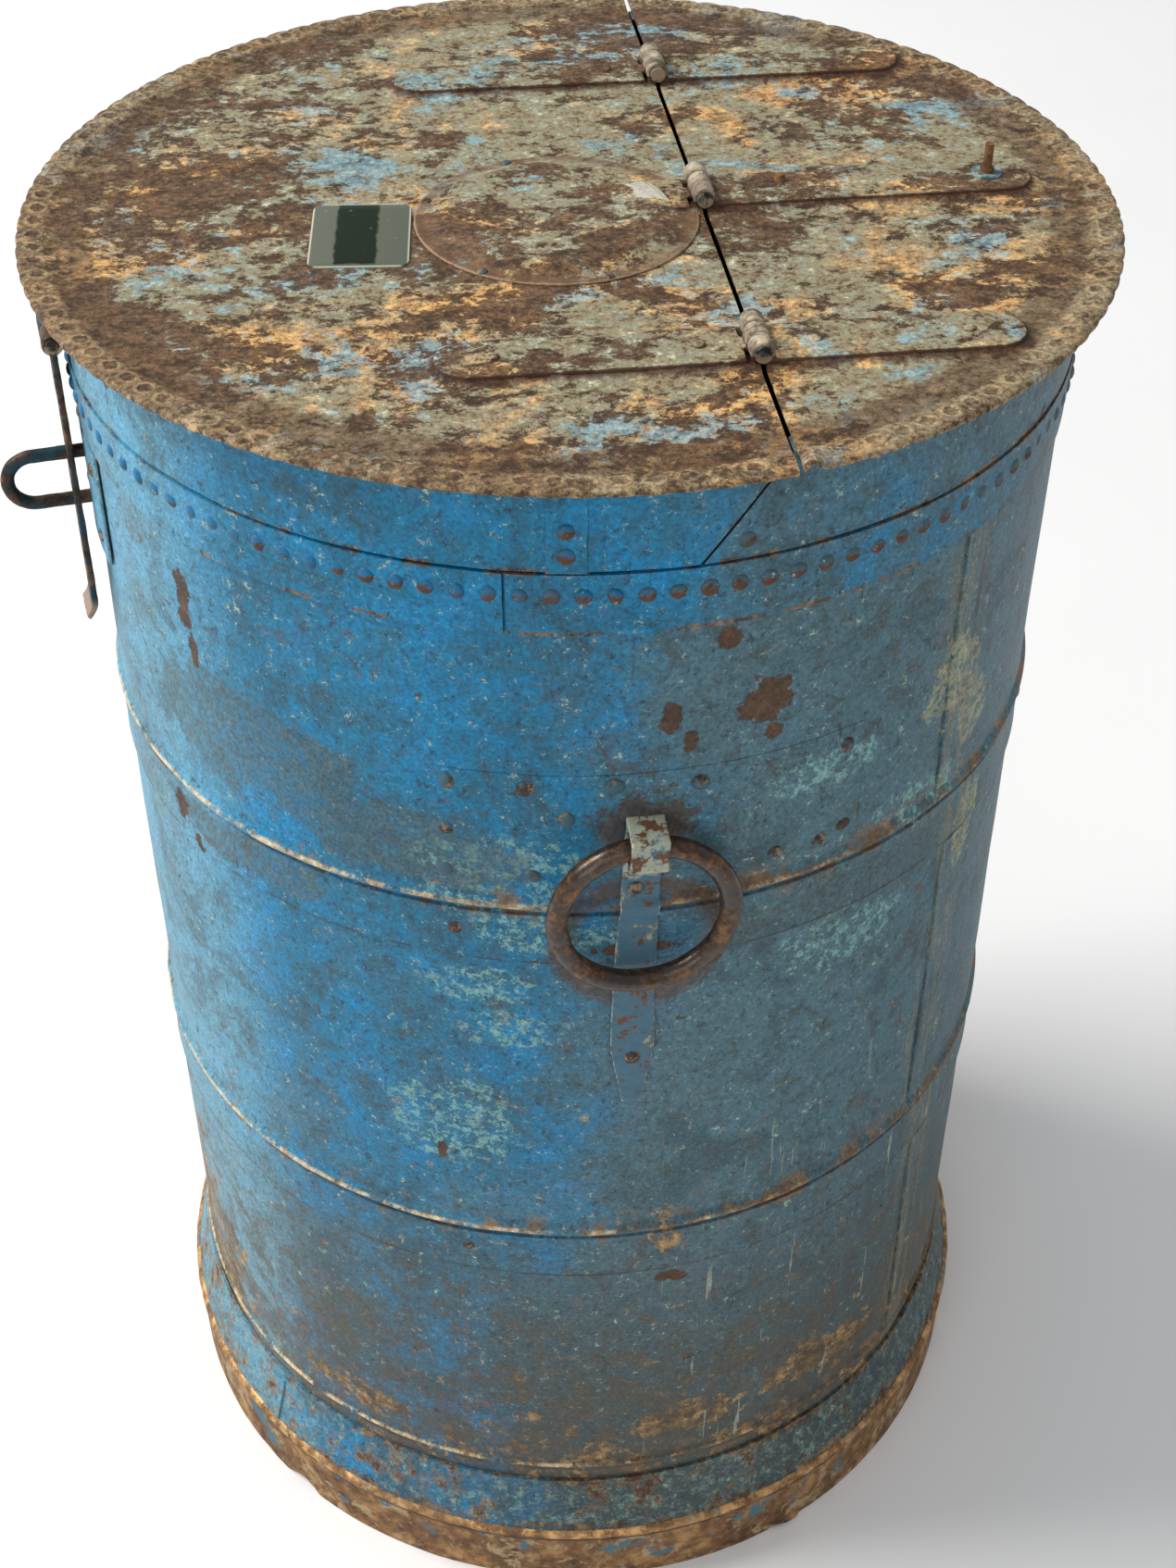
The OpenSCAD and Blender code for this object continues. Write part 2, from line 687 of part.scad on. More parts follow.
// The slotted strap, its foot turned out as a finger grip
module hasp_strap() color(rust) at_hasp() difference() {
    foot_z = hasp_z - hasp_l;
    bend_r = 16;
    union() {
        translate([hasp_off, 0, hasp_z]) rotate([90, 0, 0])
            cylinder(hasp_w, r = hasp_knuckle_r, center = true);
        translate([hasp_off - hasp_t / 2, -hasp_w / 2, foot_z + bend_r])
            cube([hasp_t, hasp_w, hasp_l - bend_r]);
        translate([hasp_off + bend_r, 0, foot_z + bend_r]) rotate([90, 0, 0]) rotate([0, 0, 180])
            translate([0, 0, -hasp_w / 2]) linear_extrude(hasp_w) intersection() {
                difference() {
                    circle(bend_r + hasp_t / 2, $fn = 96);
                    circle(bend_r - hasp_t / 2, $fn = 96);
                }
                polygon([[0, 0], [2 * bend_r, 0], [2 * bend_r, 2 * bend_r * tan(48)]]);
            }
    }
    hasp_pin_line(far, hasp_pin_r + running);
    for (z = [slot_high + hasp_slot_w / 2, slot_low - hasp_slot_w / 2])
        translate([hasp_off - hasp_t, 0, hasp_z - z]) rotate([0, 90, 0])
            cylinder(2 * hasp_t, r = hasp_slot_w / 2, $fn = 32);
    translate([hasp_off - hasp_t, -hasp_slot_w / 2, hasp_z - slot_low + hasp_slot_w / 2])
        cube([2 * hasp_t, hasp_slot_w, slot_low - slot_high - hasp_slot_w]);
}

// The two holes that the staple's legs go through
module staple_holes(r_in, r_out) at_hasp()
    for (side = [-1, 1]) translate([r_in, 0, staple_mid_z + side * staple_gap / 2])
        rotate([0, 90, 0]) cylinder(r_out - r_in, r = staple_bar_r + running, $fn = 40);

module staple() color(rust) at_hasp() {
    leg_end = wall_r - sheet_t - 4;
    bend_x = staple_tip - staple_gap / 2 - staple_bar_r;
    for (side = [-1, 1]) translate([leg_end, 0, staple_mid_z + side * staple_gap / 2])
        rotate([0, 90, 0]) cylinder(bend_x - leg_end, r = staple_bar_r, $fn = 40);
    translate([bend_x, 0, staple_mid_z]) rotate([90, 0, 0]) rotate([0, 0, -90])
        rotate_extrude(angle = 180, $fn = 96)
            translate([staple_gap / 2, 0]) circle(staple_bar_r, $fn = 40);
}

module staple_plate() color(paint) difference() {
    sector(wall_r, wall_r + staple_plate_t, staple_plate_z, staple_plate_h, hasp_az,
        2 * staple_plate_half);
    staple_holes(wall_r - 1, wall_r + staple_plate_t + 1);
}

module staple_plate_rivets() color(rust) {
    turn = (staple_plate_half - plate_rivet_in[0]) / wall_r * 180 / PI;
    for (side = [-1, 1], h = [plate_rivet_in[1], staple_plate_h - plate_rivet_in[1]])
        head(plain_head, wall_r + staple_plate_t, hasp_az + side * turn, staple_plate_z + h);
}

bottom_plate();
foot_ring();
base_hoop();
shell_lower();
shell_middle();
shell_upper();
collar();
top_hoop();
top_hoop_rivets();
lap_rivets();
fixed_lid_plate();
fixed_skirt();
fixed_skirt_rivets();
fixed_leaf_front();
fixed_leaf_middle();
fixed_leaf_back();
fixed_leaf_rivets();
strap_stud();
stud_washer();
rivet_stump();
hinge_pin_front();
hinge_pin_middle();
hinge_pin_back();
lid_flap_plate();
flap_skirt();
flap_skirt_rivets();
flap_leaf_front();
flap_leaf_middle();
flap_leaf_back();
flap_leaf_rivets();
patch_plate();
patch_rivets();
name_plate();
hasp_bracket();
hasp_bracket_rivets();
hasp_pin();
hasp_strap();
staple();
staple_plate();
staple_plate_rivets();
backing_sheet_front();
backing_sheet_back();
backing_rivets_front();
backing_rivets_back();
ring_bracket_front();
ring_bracket_back();
bracket_rivets_front();
bracket_rivets_back();
ring_front();
ring_back();
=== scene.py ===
import math
from functools import reduce
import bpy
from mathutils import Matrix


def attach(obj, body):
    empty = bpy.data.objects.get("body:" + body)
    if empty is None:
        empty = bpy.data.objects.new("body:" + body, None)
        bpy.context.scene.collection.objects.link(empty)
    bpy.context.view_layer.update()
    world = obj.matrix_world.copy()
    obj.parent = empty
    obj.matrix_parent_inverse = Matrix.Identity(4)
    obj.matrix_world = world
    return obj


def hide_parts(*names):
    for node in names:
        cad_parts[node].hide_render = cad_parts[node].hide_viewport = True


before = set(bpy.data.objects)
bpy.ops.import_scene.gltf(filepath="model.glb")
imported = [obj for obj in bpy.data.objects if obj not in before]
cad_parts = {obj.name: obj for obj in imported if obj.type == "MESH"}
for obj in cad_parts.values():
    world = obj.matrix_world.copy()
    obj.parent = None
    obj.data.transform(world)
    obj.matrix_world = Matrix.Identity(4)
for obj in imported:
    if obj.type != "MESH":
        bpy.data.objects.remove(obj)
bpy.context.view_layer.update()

from types import SimpleNamespace

import bpy
from mathutils import Matrix, Vector, noise

scene = bpy.context.scene
MM = 0.001

# The camera and the studio. The camera stands at eye height by the front ring and looks down on
# the lid. The floor is pale and runs out of sight, under a large soft lamp to the left and an
# even white surround.
eye_place = Vector((-0.14317, -1.18437, 1.49984))
eye_ahead = Vector((0.09918, 0.76054, -0.64167))
eye_up = Vector((0.07849, 0.63686, 0.76697))
bpy.ops.object.camera_add()
camera = bpy.context.object
camera.name = "eye"
camera.data.lens = 51.6
camera.data.sensor_width = 36
camera.data.clip_end = 60
turned_to = Matrix((eye_ahead.cross(eye_up), eye_up, -eye_ahead)).transposed()
camera.matrix_world = Matrix.Translation(eye_place) @ turned_to.to_4x4()
scene.camera = camera
scene.view_settings.view_transform = "Standard"


def lamp(name, place, aim, size, watts, colour=(1, 1, 1)):
    """A square soft lamp at place, turned to aim."""
    bpy.ops.object.light_add(type="AREA", location=place)
    light = bpy.context.object
    light.name = name
    light.data.size = size
    light.data.energy = watts
    light.data.color = colour
    light.rotation_mode = "QUATERNION"
    light.rotation_quaternion = (Vector(aim) - Vector(place)).to_track_quat("-Z", "Y")


lamp("key", (-5.6, 1.5, 6.3), (0, 0, 0.5), 3.8, 740, (1, 0.985, 0.96))
lamp("front", (-1.6, -3.6, 2.0), (0, 0, 0.5), 2.2, 30)
scene.world = bpy.data.worlds.new("surround")
scene.world.use_nodes = True
surround = scene.world.node_tree.nodes["Background"]
surround.inputs["Color"].default_value = (0.97, 0.98, 1, 1)
surround.inputs["Strength"].default_value = 0.52


class Signal:
    """A value, vector or colour in a finish. Sums on it add Math nodes, node() adds any other."""

    def __init__(self, tree, socket=None):
        self.tree, self.socket = tree, socket

    def node(self, kind, inputs=(), output=0, stops=(), **settings):
        made = self.tree.nodes.new("ShaderNode" + kind)
        for name, value in settings.items():
            setattr(made, name, value)
        for place, colour in stops:
            ramp = made.color_ramp
            known = [stop for stop in ramp.elements if abs(stop.position - place) < 1e-6]
            (known[0] if known else ramp.elements.new(place)).color = colour
        for place, value in dict(inputs).items():
            if isinstance(value, Signal):
                self.tree.links.new(value.socket, made.inputs[place])
            else:
                made.inputs[place].default_value = value
        return Signal(self.tree, made.outputs[output] if made.outputs else None)

    def math(self, operation, *others):
        return self.node("Math", enumerate((self, *others)), operation=operation)

    def __add__(self, other):
        return self.math("ADD", other)

    def __sub__(self, other):
        return self.math("SUBTRACT", other)

    def __rsub__(self, other):
        return self.node("Math", {0: other, 1: self}, operation="SUBTRACT")

    def __mul__(self, other):
        return self.math("MULTIPLY", other)

    def __neg__(self):
        return self * -1

    __radd__, __rmul__ = __add__, __mul__

    def either(self, other):
        return self.math("MAXIMUM", other)

    def least(self, other):
        return self.math("MINIMUM", other)

    def size(self):
        return self.math("ABSOLUTE")

    def times(self, share):
        """This colour, darker or lighter by a share."""
        return self.node("VectorMath", {0: self, 1: share}, operation="MULTIPLY")

    def length(self):
        return self.node("VectorMath", {0: self}, 1, operation="LENGTH")

    def across(self, u, v=0.0):
        return self.node("CombineXYZ", {0: u, 1: v})

    def rise(self, low, high):
        """0 below low and 1 above high, or the other way when low is the higher."""
        return self.node("MapRange", {0: self, 1: low, 2: high}, interpolation_type="SMOOTHSTEP")

    def paint(self, under, over):
        """The colour over where this mask is 1, and under where it is 0."""
        return self.node("Mix", {0: self, 6: under, 7: over}, 2, data_type="RGBA")

    def parts(self):
        return [self.node("SeparateXYZ", {0: self}, i) for i in range(3)]

    def ramp(self, stops):
        """The colours of (value, colour) stops, by this value."""
        return self.node("ValToRGB", {0: self}, stops=stops)

    def placed(self, shift, scale=(1, 1, 1)):
        """These coordinates scaled and then shifted."""
        return self.node("Mapping", {0: self, 1: shift, 3: scale})

    def stretch(self, x, y, z):
        return self.placed((0, 0, 0), (x, y, z))

    def facing(self):
        """Which way the surface faces."""
        return self.node("TexCoord", output=1)

    def edges(self):
        """Over 0.5 on outer edges and under it in corners."""
        return self.node("NewGeometry", output=7)

    def grain(self, scale, detail=4, rough=0.6, twist=0.0):
        """Cloudy noise on these coordinates, with scale lumps to the metre."""
        return self.node("TexNoise", {
            "Vector": self, "Scale": scale, "Detail": detail, "Roughness": rough,
            "Distortion": twist})

    def oval(self, x, y, wide, tall):
        """How far it is from an oval's middle on flat coordinates, with 1 on its edge."""
        return self.placed(
            (-x / wide, -y / tall, 0), (1 / (wide * MM), 1 / (tall * MM), 0)).length()

    def spot(self, x, y, wide, tall, ragged):
        """1 inside an oval on flat coordinates, torn at its edge by ragged."""
        return (self.oval(x, y, wide, tall) + ragged).rise(1.12, 0.88)


def tint(red, green, blue):
    """A colour from its screen values."""
    shares = [v / 255 for v in (red, green, blue)]
    return tuple(
        v / 12.92 if v <= 0.04045 else ((v + 0.055) / 1.055) ** 2.4 for v in shares) + (1.0,)


def start_finish(name):
    """A new material and the object coordinates that its pattern lies on."""
    finish = bpy.data.materials.new(name)
    finish.use_nodes = True
    finish.node_tree.nodes.clear()
    return finish, Signal(finish.node_tree).node("TexCoord", output=3)


def end_finish(at, colour, roughness, height, depth, metallic=0.0, shine=0.3):
    """The shader, with a bump of that depth in millimetres."""
    bump = at.node("Bump", {"Height": height, "Strength": 0.9, "Distance": depth * MM})
    shader = at.node("BsdfPrincipled", {
        "Base Color": colour, "Roughness": roughness, "Normal": bump, "Metallic": metallic,
        "Specular IOR Level": shine})
    at.node("OutputMaterial", {"Surface": shader})


bpy.ops.object.select_all(action="DESELECT")
bpy.ops.mesh.primitive_plane_add(size=60)
floor = bpy.context.object
floor.name = "floor"
floor_finish, at = start_finish("pale_floor")
end_finish(at, at.grain(3, 2).paint(tint(236, 236, 236), tint(240, 240, 240)), 0.9,
           at.grain(90, 2), 0.02)
floor.data.materials.append(floor_finish)

# The foot. A flat iron band carries the drum, and its upper edge is rolled over a wire. The paint
# has gone from it, the roll is rubbed to a dull gold, and the lower edge is eaten away in places.
FOOT_R, FOOT_T, ROLL_R = 303.2, 3.2, 4.5
ROLL_MID = (300.6, 52.5)
# Each bite is (bearing, width, depth).
FOOT_BITES = [(-139, 34, 9), (-101, 16, 3.5), (-66, 26, 6), (38, 30, 7), (151, 20, 5)]
FOOT_MEAN_R = 300
CURL_AZ, CURL_HALF_W, CURL_H, CURL_OUT = -65.5, 13, 16, 4.5


def choose(piece):
    bpy.ops.object.select_all(action="DESELECT")
    piece.select_set(True)
    bpy.context.view_layer.objects.active = piece


def edit(piece, *steps):
    """Runs edit-mode steps on all of a piece's mesh."""
    choose(piece)
    bpy.ops.object.mode_set(mode="EDIT")
    bpy.ops.mesh.select_all(action="SELECT")
    for step in steps:
        step()
    bpy.ops.object.mode_set(mode="OBJECT")


def outward():
    bpy.ops.mesh.normals_make_consistent(inside=False)


def closed():
    bpy.ops.mesh.remove_doubles(threshold=1e-6)
    bpy.ops.mesh.fill_holes(sides=0)
    outward()


def run(points, step):
    """Points along a broken line, in millimetres, with none further apart than step."""
    made = [points[0]]
    for (r0, z0), (r1, z1) in zip(points, points[1:]):
        n = max(1, math.ceil(math.hypot(r1 - r0, z1 - z0) / step))
        made += [(r0 + (r1 - r0) * i / n, z0 + (z1 - z0) * i / n) for i in range(1, n + 1)]
    return made


def arc(centre, radius, first, last, n):
    """Points on a circle of a section, from one angle to another."""
    turns = [math.radians(first + (last - first) * i / n) for i in range(n + 1)]
    return [(centre[0] + radius * math.cos(a), centre[1] + radius * math.sin(a)) for a in turns]


def turned(name, section, steps, start=0.0, sweep=360.0):
    """A section of (radius, height) points drawn point by point and spun round the drum's axis."""
    turn = Matrix.Rotation(math.radians(start), 3, "Z")
    spots = [turn @ Vector((r * MM, 0, z * MM)) for r, z in section]
    bpy.ops.object.select_all(action="DESELECT")
    bpy.ops.mesh.primitive_plane_add(size=MM, location=spots[0])
    piece = bpy.context.object
    piece.name = piece.data.name = name
    bpy.ops.object.transform_apply()
    bpy.ops.object.mode_set(mode="EDIT")
    bpy.ops.mesh.merge(type="CENTER")
    for here, there in zip(spots, spots[1:]):
        bpy.ops.mesh.extrude_region_move(TRANSFORM_OT_translate={"value": there - here})
    bpy.ops.object.mode_set(mode="OBJECT")
    if section[0][0] > 0:
        for v in piece.data.vertices:
            v.select = (v.co - spots[0]).length < 1e-6 or (v.co - spots[-1]).length < 1e-6
        bpy.ops.object.mode_set(mode="EDIT")
        bpy.ops.mesh.edge_face_add()
        bpy.ops.object.mode_set(mode="OBJECT")
    edit(piece, lambda: bpy.ops.mesh.spin(
        steps=steps, angle=-math.radians(sweep), center=(0, 0, 0), axis=(0, 0, 1)))
    edit(piece, closed)
    return piece


def hammer(piece, move):
    """Moves every point of a mesh: move takes and returns bearing, radius and height."""
    for v in piece.data.vertices:
        az, r, z = move(math.degrees(math.atan2(v.co.y, v.co.x)), v.co.xy.length / MM, v.co.z / MM)
        v.co = Vector((math.cos(math.radians(az)) * r, math.sin(math.radians(az)) * r, z)) * MM
    piece.data.update()


def lumps(az, r, z, size, shift=0.0):
    """Smooth noise from -1 to 1, with lumps of that size in millimetres."""
    a = math.radians(az)
    place = Vector((math.cos(a) * r, math.sin(a) * r, z)) / size
    return noise.noise(place + Vector((shift, shift, 0)))


def finish_piece(piece, body, finish, angle=35, stands_for=()):
    """Shades and colours a piece, and says what it rides on and stands for."""
    choose(piece)
    bpy.ops.object.shade_smooth_by_angle(angle=math.radians(angle))
    piece.data.materials.clear()
    piece.data.materials.append(finish)
    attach(piece, body)
    if stands_for:
        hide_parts(*stands_for)
    return piece


def rust_colour(at):
    """Brown iron, from near black to ochre."""
    return (at.grain(95, 6, 0.68) * 0.6 + at.grain(26, 5, 0.6) * 0.4).ramp([
        (0.0, tint(40, 26, 18)), (0.38, tint(66, 42, 28)), (0.5, tint(104, 72, 46)),
        (0.6, tint(140, 102, 64)), (1.0, tint(182, 146, 98))])


foot_finish, at = start_finish("foot_rust")
x, y, z = at.parts()
flake = at.grain(60, 6, 0.7, 0.4)
coat = flake.rise(0.52, 0.62).paint(
    rust_colour(at).times((1.35, 1.5, 1.5)), tint(160, 140, 106))
coat = (at.grain(34, 5, 0.65) * z.rise(0.0, 0.02)).rise(0.57, 0.63).paint(coat, tint(74, 104, 116))
rubbed = z.rise(0.049, 0.053) * at.grain(45, 5).rise(0.3, 0.62)
coat = rubbed.paint(coat, at.grain(90, 6, 0.78).rise(0.4, 0.62).paint(
    tint(112, 78, 48), tint(204, 160, 104)))
# Painted shade: a dark band in the crease under the rolled edge.
shade_under_roll = z.rise(0.0505, 0.0478) * z.rise(0.044, 0.0478)
coat = (shade_under_roll * 0.8).paint(coat, tint(46, 34, 27))
end_finish(at, coat, 0.78 - rubbed * 0.3, flake, 0.9, rubbed * 0.35)


def round_foot(az, other_az):
    """How far apart two bearings are along the foot, in millimetres."""
    return math.radians(abs((az - other_az + 180) % 360 - 180)) * FOOT_MEAN_R


def foot_edge(az, r, z):
    """The band's waves, the bites out of its lower edge, and the place where it curls out."""
    r += 0.5 * lumps(az, FOOT_MEAN_R, z, 60) + 0.25 * lumps(az, FOOT_MEAN_R, z, 14, 5)
    lift = 0.4 + 0.5 * lumps(az, FOOT_MEAN_R, 0, 12, 9)
    for bite_az, wide, deep in FOOT_BITES:
        off = round_foot(az, bite_az)
        rough = 0.8 * lumps(az, FOOT_MEAN_R, 0, 7, 3)
        lift = max(lift, deep * (1 - (2 * off / wide) ** 2) + rough)
    if z > ROLL_MID[1] - ROLL_R - 1:
        r += 0.6 * lumps(az, FOOT_MEAN_R, 0, 11, 4)
    curl = round_foot(az, CURL_AZ) / CURL_HALF_W
    if curl < 1 and z < CURL_H and r > FOOT_R - 1.2:
        r += CURL_OUT * (1 - curl * curl) * (1 - z / CURL_H)
    return az, r, max(z, lift) if z < 30 else z


foot = turned("foot_band", run([(FOOT_R, 0), (FOOT_R, 48.8)], 6)
              + arc(ROLL_MID, ROLL_R, -48, 228, 18)
              + run([(FOOT_R - FOOT_T, 48), (FOOT_R - FOOT_T, 0)], 12)[1:], 720)
hammer(foot, foot_edge)
finish_piece(foot, "drum", foot_finish, 50, ["foot_ring"])

# The walls. Three courses of rolled sheet iron lap over each other, each with a hollow bead swaged
# in just above its lap and a riveted seam up the right side. The blue paint is chalky and stained,
# with rust along the beads and ochre dirt near the foot.
WALL_R, SHEET_T, LAP_H, BEAD_R = 288.0, 1.5, 43.0, 4.0
LAPS = [333.0, 612.0]
WALL_TOP, WALL_FOOT = 876.0, 48.5
BEADS = [(119.0, 2.4)] + [(lap + LAP_H, BEAD_R) for lap in LAPS]
SEAM_AZS = [-41.6, -44.5, -48.0]
SEAM_W = 20.0
# The heights between which the seam's streaks step over to the next course's seam.
SEAM_STEPS = [(0.370, 0.374), (0.650, 0.654)]
# Marks on the wall, each (bearing, height, half width, half height).
TEAL_FLAKES = [(-105, 674, 48, 30), (-100, 634, 40, 14), (-107, 588, 34, 14), (-64, 588, 50, 24),
               (-69, 724, 34, 14), (-53, 664, 34, 20), (-104, 556, 34, 14), (-112, 470, 40, 40)]
CREAM_FLAKES = [(-48, 742, 22, 28), (-44, 706, 16, 26), (-42, 612, 14, 34)]
OLIVE_GRIME = [(-136, 716, 74, 40), (-117, 688, 66, 26), (-138, 634, 64, 14), (-60, 625, 90, 22)]
OCHRE_DIRT = [(-81, 160, 36, 22), (-84, 366, 12, 26), (-57, 165, 60, 18), (-165, 140, 60, 130),
              (-128, 145, 40, 14)]
RUST_SPOTS = [(-76.1, 784, 13, 16), (-81.1, 830, 7, 7), (-86.6, 783, 6, 9), (-75.3, 762, 5, 6),
              (-84.4, 765, 4, 7), (-143.5, 796, 6, 18), (-142.8, 765, 3, 12), (-150, 634, 7, 10),
              (-147, 612, 4, 8), (-82, 606, 20, 5), (-84, 322, 12, 5), (-113, 440, 3, 7),
              (-89, 622, 22, 4)]
# Painted shadow round the top of the front bracket's loop, as (bearing, height, half width, half
# height).
BRACKET_SHADOW = [(-89.4, 714, 30, 17)]
# Rust along the edges of the skirt and hoops, each (height, fades out at, full within).
EDGE_RUST = [(878, 2.6, 0.8), (841, 2.2, 0.6), (60, 6, 1), (100, 5, 1)]


def most(masks):
    """One mask from several, as strong as the strongest of them."""
    return reduce(Signal.either, masks)


def stains(flat, ragged, places):
    """One mask for a list of marks."""
    return most(flat.spot(math.radians(az + 90) * WALL_R, height, wide, tall, ragged)
                for az, height, wide, tall in places)


def paint_ground(at):
    """The coordinates and grains that all the layers of the blue paint share."""
    x, y, z = at.parts()
    side = x.math("ARCTAN2", -y) * (WALL_R * MM)
    return SimpleNamespace(
        at=at, x=x, z=z, side=side, flat=at.across(side, z), blot=at.grain(17, 6, 0.7, 0.5),
        grit=at.grain(120, 5, 0.74), fine=at.grain(430, 3, 0.66),
        ragged=(at.grain(70, 6, 0.72, 0.5) - 0.5) * 3.2)


def blue_layers(ground, lively_more):
    """Fresh and faded blue, a painted sheen of pale blue down the far left side, thin dark places,
    and fine dark and pale flecks.
    """
    at, x, z, blot = ground.at, ground.x, ground.z, ground.blot
    cloud = at.grain(5, 5, 0.62)
    tick = ground.flat.stretch(1, 0.75, 1).grain(170, 8, 0.84, 0.3)
    lively = (x.rise(0.10, -0.10) * 0.55 + z.rise(0.18, 0.66) * 0.32 + cloud * 0.9
              + blot * 0.35 + lively_more).rise(1.06, 1.5)
    coat = z.rise(0.10, 0.50).paint(tint(60, 72, 72), tint(72, 105, 117))
    coat = lively.paint(coat, tint(8, 106, 142))
    coat = (lively * blot.rise(0.47, 0.62)).paint(coat, tint(2, 120, 168))
    # Painted highlight: pale blue sheen down the far left side of the drum, on the lamp's side.
    coat = (x.rise(-0.19, -0.255) * 0.5).paint(coat, tint(116, 172, 192))
    coat = (blot.rise(0.49, 0.36) * 0.6).paint(coat, tint(46, 72, 80))
    coat = (cloud.rise(0.56, 0.7) * 0.5).paint(coat, tint(88, 114, 118))
    coat = (at.grain(34, 8, 0.8).rise(0.525, 0.60) * (1.0 - lively * 0.5) * 0.6).paint(
        coat, tint(60, 68, 64))
    coat = (tick.rise(0.545, 0.60) * 0.75).paint(coat, tint(34, 48, 52))
    coat = (ground.grit.rise(0.6, 0.65) * 0.8).paint(coat, tint(50, 46, 40))
    coat = (at.grain(120, 6, 0.82).rise(0.612, 0.63) * 0.8).paint(coat, tint(142, 168, 162))
    return (at.grain(230, 4, 0.85).rise(0.638, 0.65) * 0.6).paint(coat, tint(168, 190, 184))


def wall_patches(ground, coat):
    """Older teal and cream paint in flakes, olive grime, ochre dirt, specks and pale drips."""
    at, z, flat, grit = ground.at, ground.z, ground.flat, ground.grit
    flakes = at.grain(150, 7, 0.8, 0.3)
    ragged = (at.grain(24, 5, 0.66) - 0.5) * 2.2
    teal, cream, olive, ochre = [stains(flat, ragged, marks) for marks in (
        TEAL_FLAKES, CREAM_FLAKES, OLIVE_GRIME, OCHRE_DIRT)]
    coat = (teal * flakes.rise(0.50, 0.55) * 0.85).paint(coat, tint(118, 162, 158))
    coat = (cream * flakes.rise(0.45, 0.52) * 0.9).paint(coat, tint(150, 152, 122))
    coat = (olive * ground.blot.rise(0.22, 0.42) * grit.rise(0.30, 0.56) * 0.7).paint(
        coat, ground.fine.paint(tint(42, 64, 72), tint(84, 104, 104)))
    dirt = (z.rise(0.26, 0.10) * 0.10 + at.grain(30, 8, 0.78) + ochre * 0.12).rise(0.61, 0.68)
    dirt = dirt * z.rise(0.66, 0.3)
    coat = (dirt * 0.8).paint(coat, grit.rise(0.4, 0.6).paint(
        tint(92, 72, 48), tint(164, 130, 84)))
    grime = (z.rise(0.42, 0.11) * 0.13 + at.grain(46, 8, 0.8)).rise(0.56, 0.66)
    coat = (grime * 0.65).paint(coat, tint(78, 68, 54))
    speck = at.grain(100, 6, 0.8).rise(0.60, 0.625) * z.rise(0.62, 0.28)
    coat = (speck * 0.7).paint(coat, tint(116, 84, 56))
    drip = flat.stretch(1, 0.07, 1).grain(150, 3, 0.7).rise(0.63, 0.69)
    coat = (drip * ground.x.rise(-0.02, 0.08) * z.rise(0.60, 0.30)).paint(
        coat, tint(140, 148, 132))
    return coat, dirt


def bead_rust_shade_and_highlight(ground, coat):
    """Rust round the beads, painted shade in a dark line under each, a rubbed line on each crest
    that is also a painted highlight, paler to the left, and dark lap edges.
    """
    broken = ground.at.grain(42, 7, 0.74)
    above = [ground.z - bead_z * MM for bead_z, bead_r in BEADS]
    stain = most(up.size().rise(0.018, 0.002) for up in above)
    below = most(up.rise(-0.0085, -0.0060) * up.rise(-0.0026, -0.0045) for up in above)
    crest = most(up.size().rise(0.0028, 0.0010) for up in above)
    lap = most((up + LAP_H * MM).size().rise(0.0019, 0.0004) for up in above)
    stain = stain * (broken + ground.x * 0.17).rise(0.52, 0.60)
    coat = (stain * 0.85).paint(coat, ground.grit.paint(tint(62, 44, 30), tint(160, 122, 80)))
    # Painted shade: a dark line along the underside of each bead.
    coat = (below * broken.rise(0.46, 0.56) * 0.6).paint(coat, tint(60, 44, 34))
    # Rubbed metal on each crest, also a painted highlight: paler to the left, on the lamp's side.
    crest_metal_and_highlight = (ground.at.grain(60, 6, 0.76) - ground.x * 0.55).rise(0.4, 0.68).paint(
        tint(104, 78, 54), tint(206, 186, 146))
    coat = (crest * broken.rise(0.42, 0.50) * 0.85).paint(coat, crest_metal_and_highlight)
    return (lap * broken.rise(0.42, 0.5) * 0.8).paint(coat, tint(58, 46, 38))


def seam_streaks(ground, coat):
    """Streaks down each course's seam, and a thin dark line where the strip ends."""
    lower, middle, upper = [math.radians(az + 90) * WALL_R * MM for az in SEAM_AZS]
    first_step, second_step = [ground.z.rise(*heights) for heights in SEAM_STEPS]
    seam = first_step * (middle - lower) + second_step * (upper - middle) + lower
    streak = ground.flat.stretch(1, 0.09, 1).grain(120, 5, 0.74)
    off = (ground.side - seam).size()
    coat = (off.rise(0.030, 0.008) * streak.rise(0.46, 0.56) * 0.55).paint(
        coat, ground.grit.paint(tint(80, 78, 64), tint(150, 148, 124)))
    return ((off - 0.0095).size().rise(0.004, 0.001) * streak.rise(0.48, 0.40) * 0.5).paint(
        coat, tint(60, 50, 38))


def ring_rubs_and_shadows(ground, coat):
    """The circle that the hanging ring has rubbed on the wall, painted dark as the ring's shadow
    too, and painted shadow round the top of its bracket.
    """
    grit = ground.grit
    off = ground.flat.placed((-0.004, -0.657, 0), (1, 1.05, 1)).length()
    # Rub mark and painted shadow: a dark circle round the hanging ring.
    circle = (off - 0.046 + (grit - 0.5) * 0.012).size().rise(0.011, 0.003)
    # Painted shadow round the top of the bracket's loop.
    grime = stains(ground.flat, ground.ragged, BRACKET_SHADOW)
    return (circle.either(grime) * 0.75).paint(
        coat, grit.paint(tint(44, 34, 28), tint(100, 74, 50)))


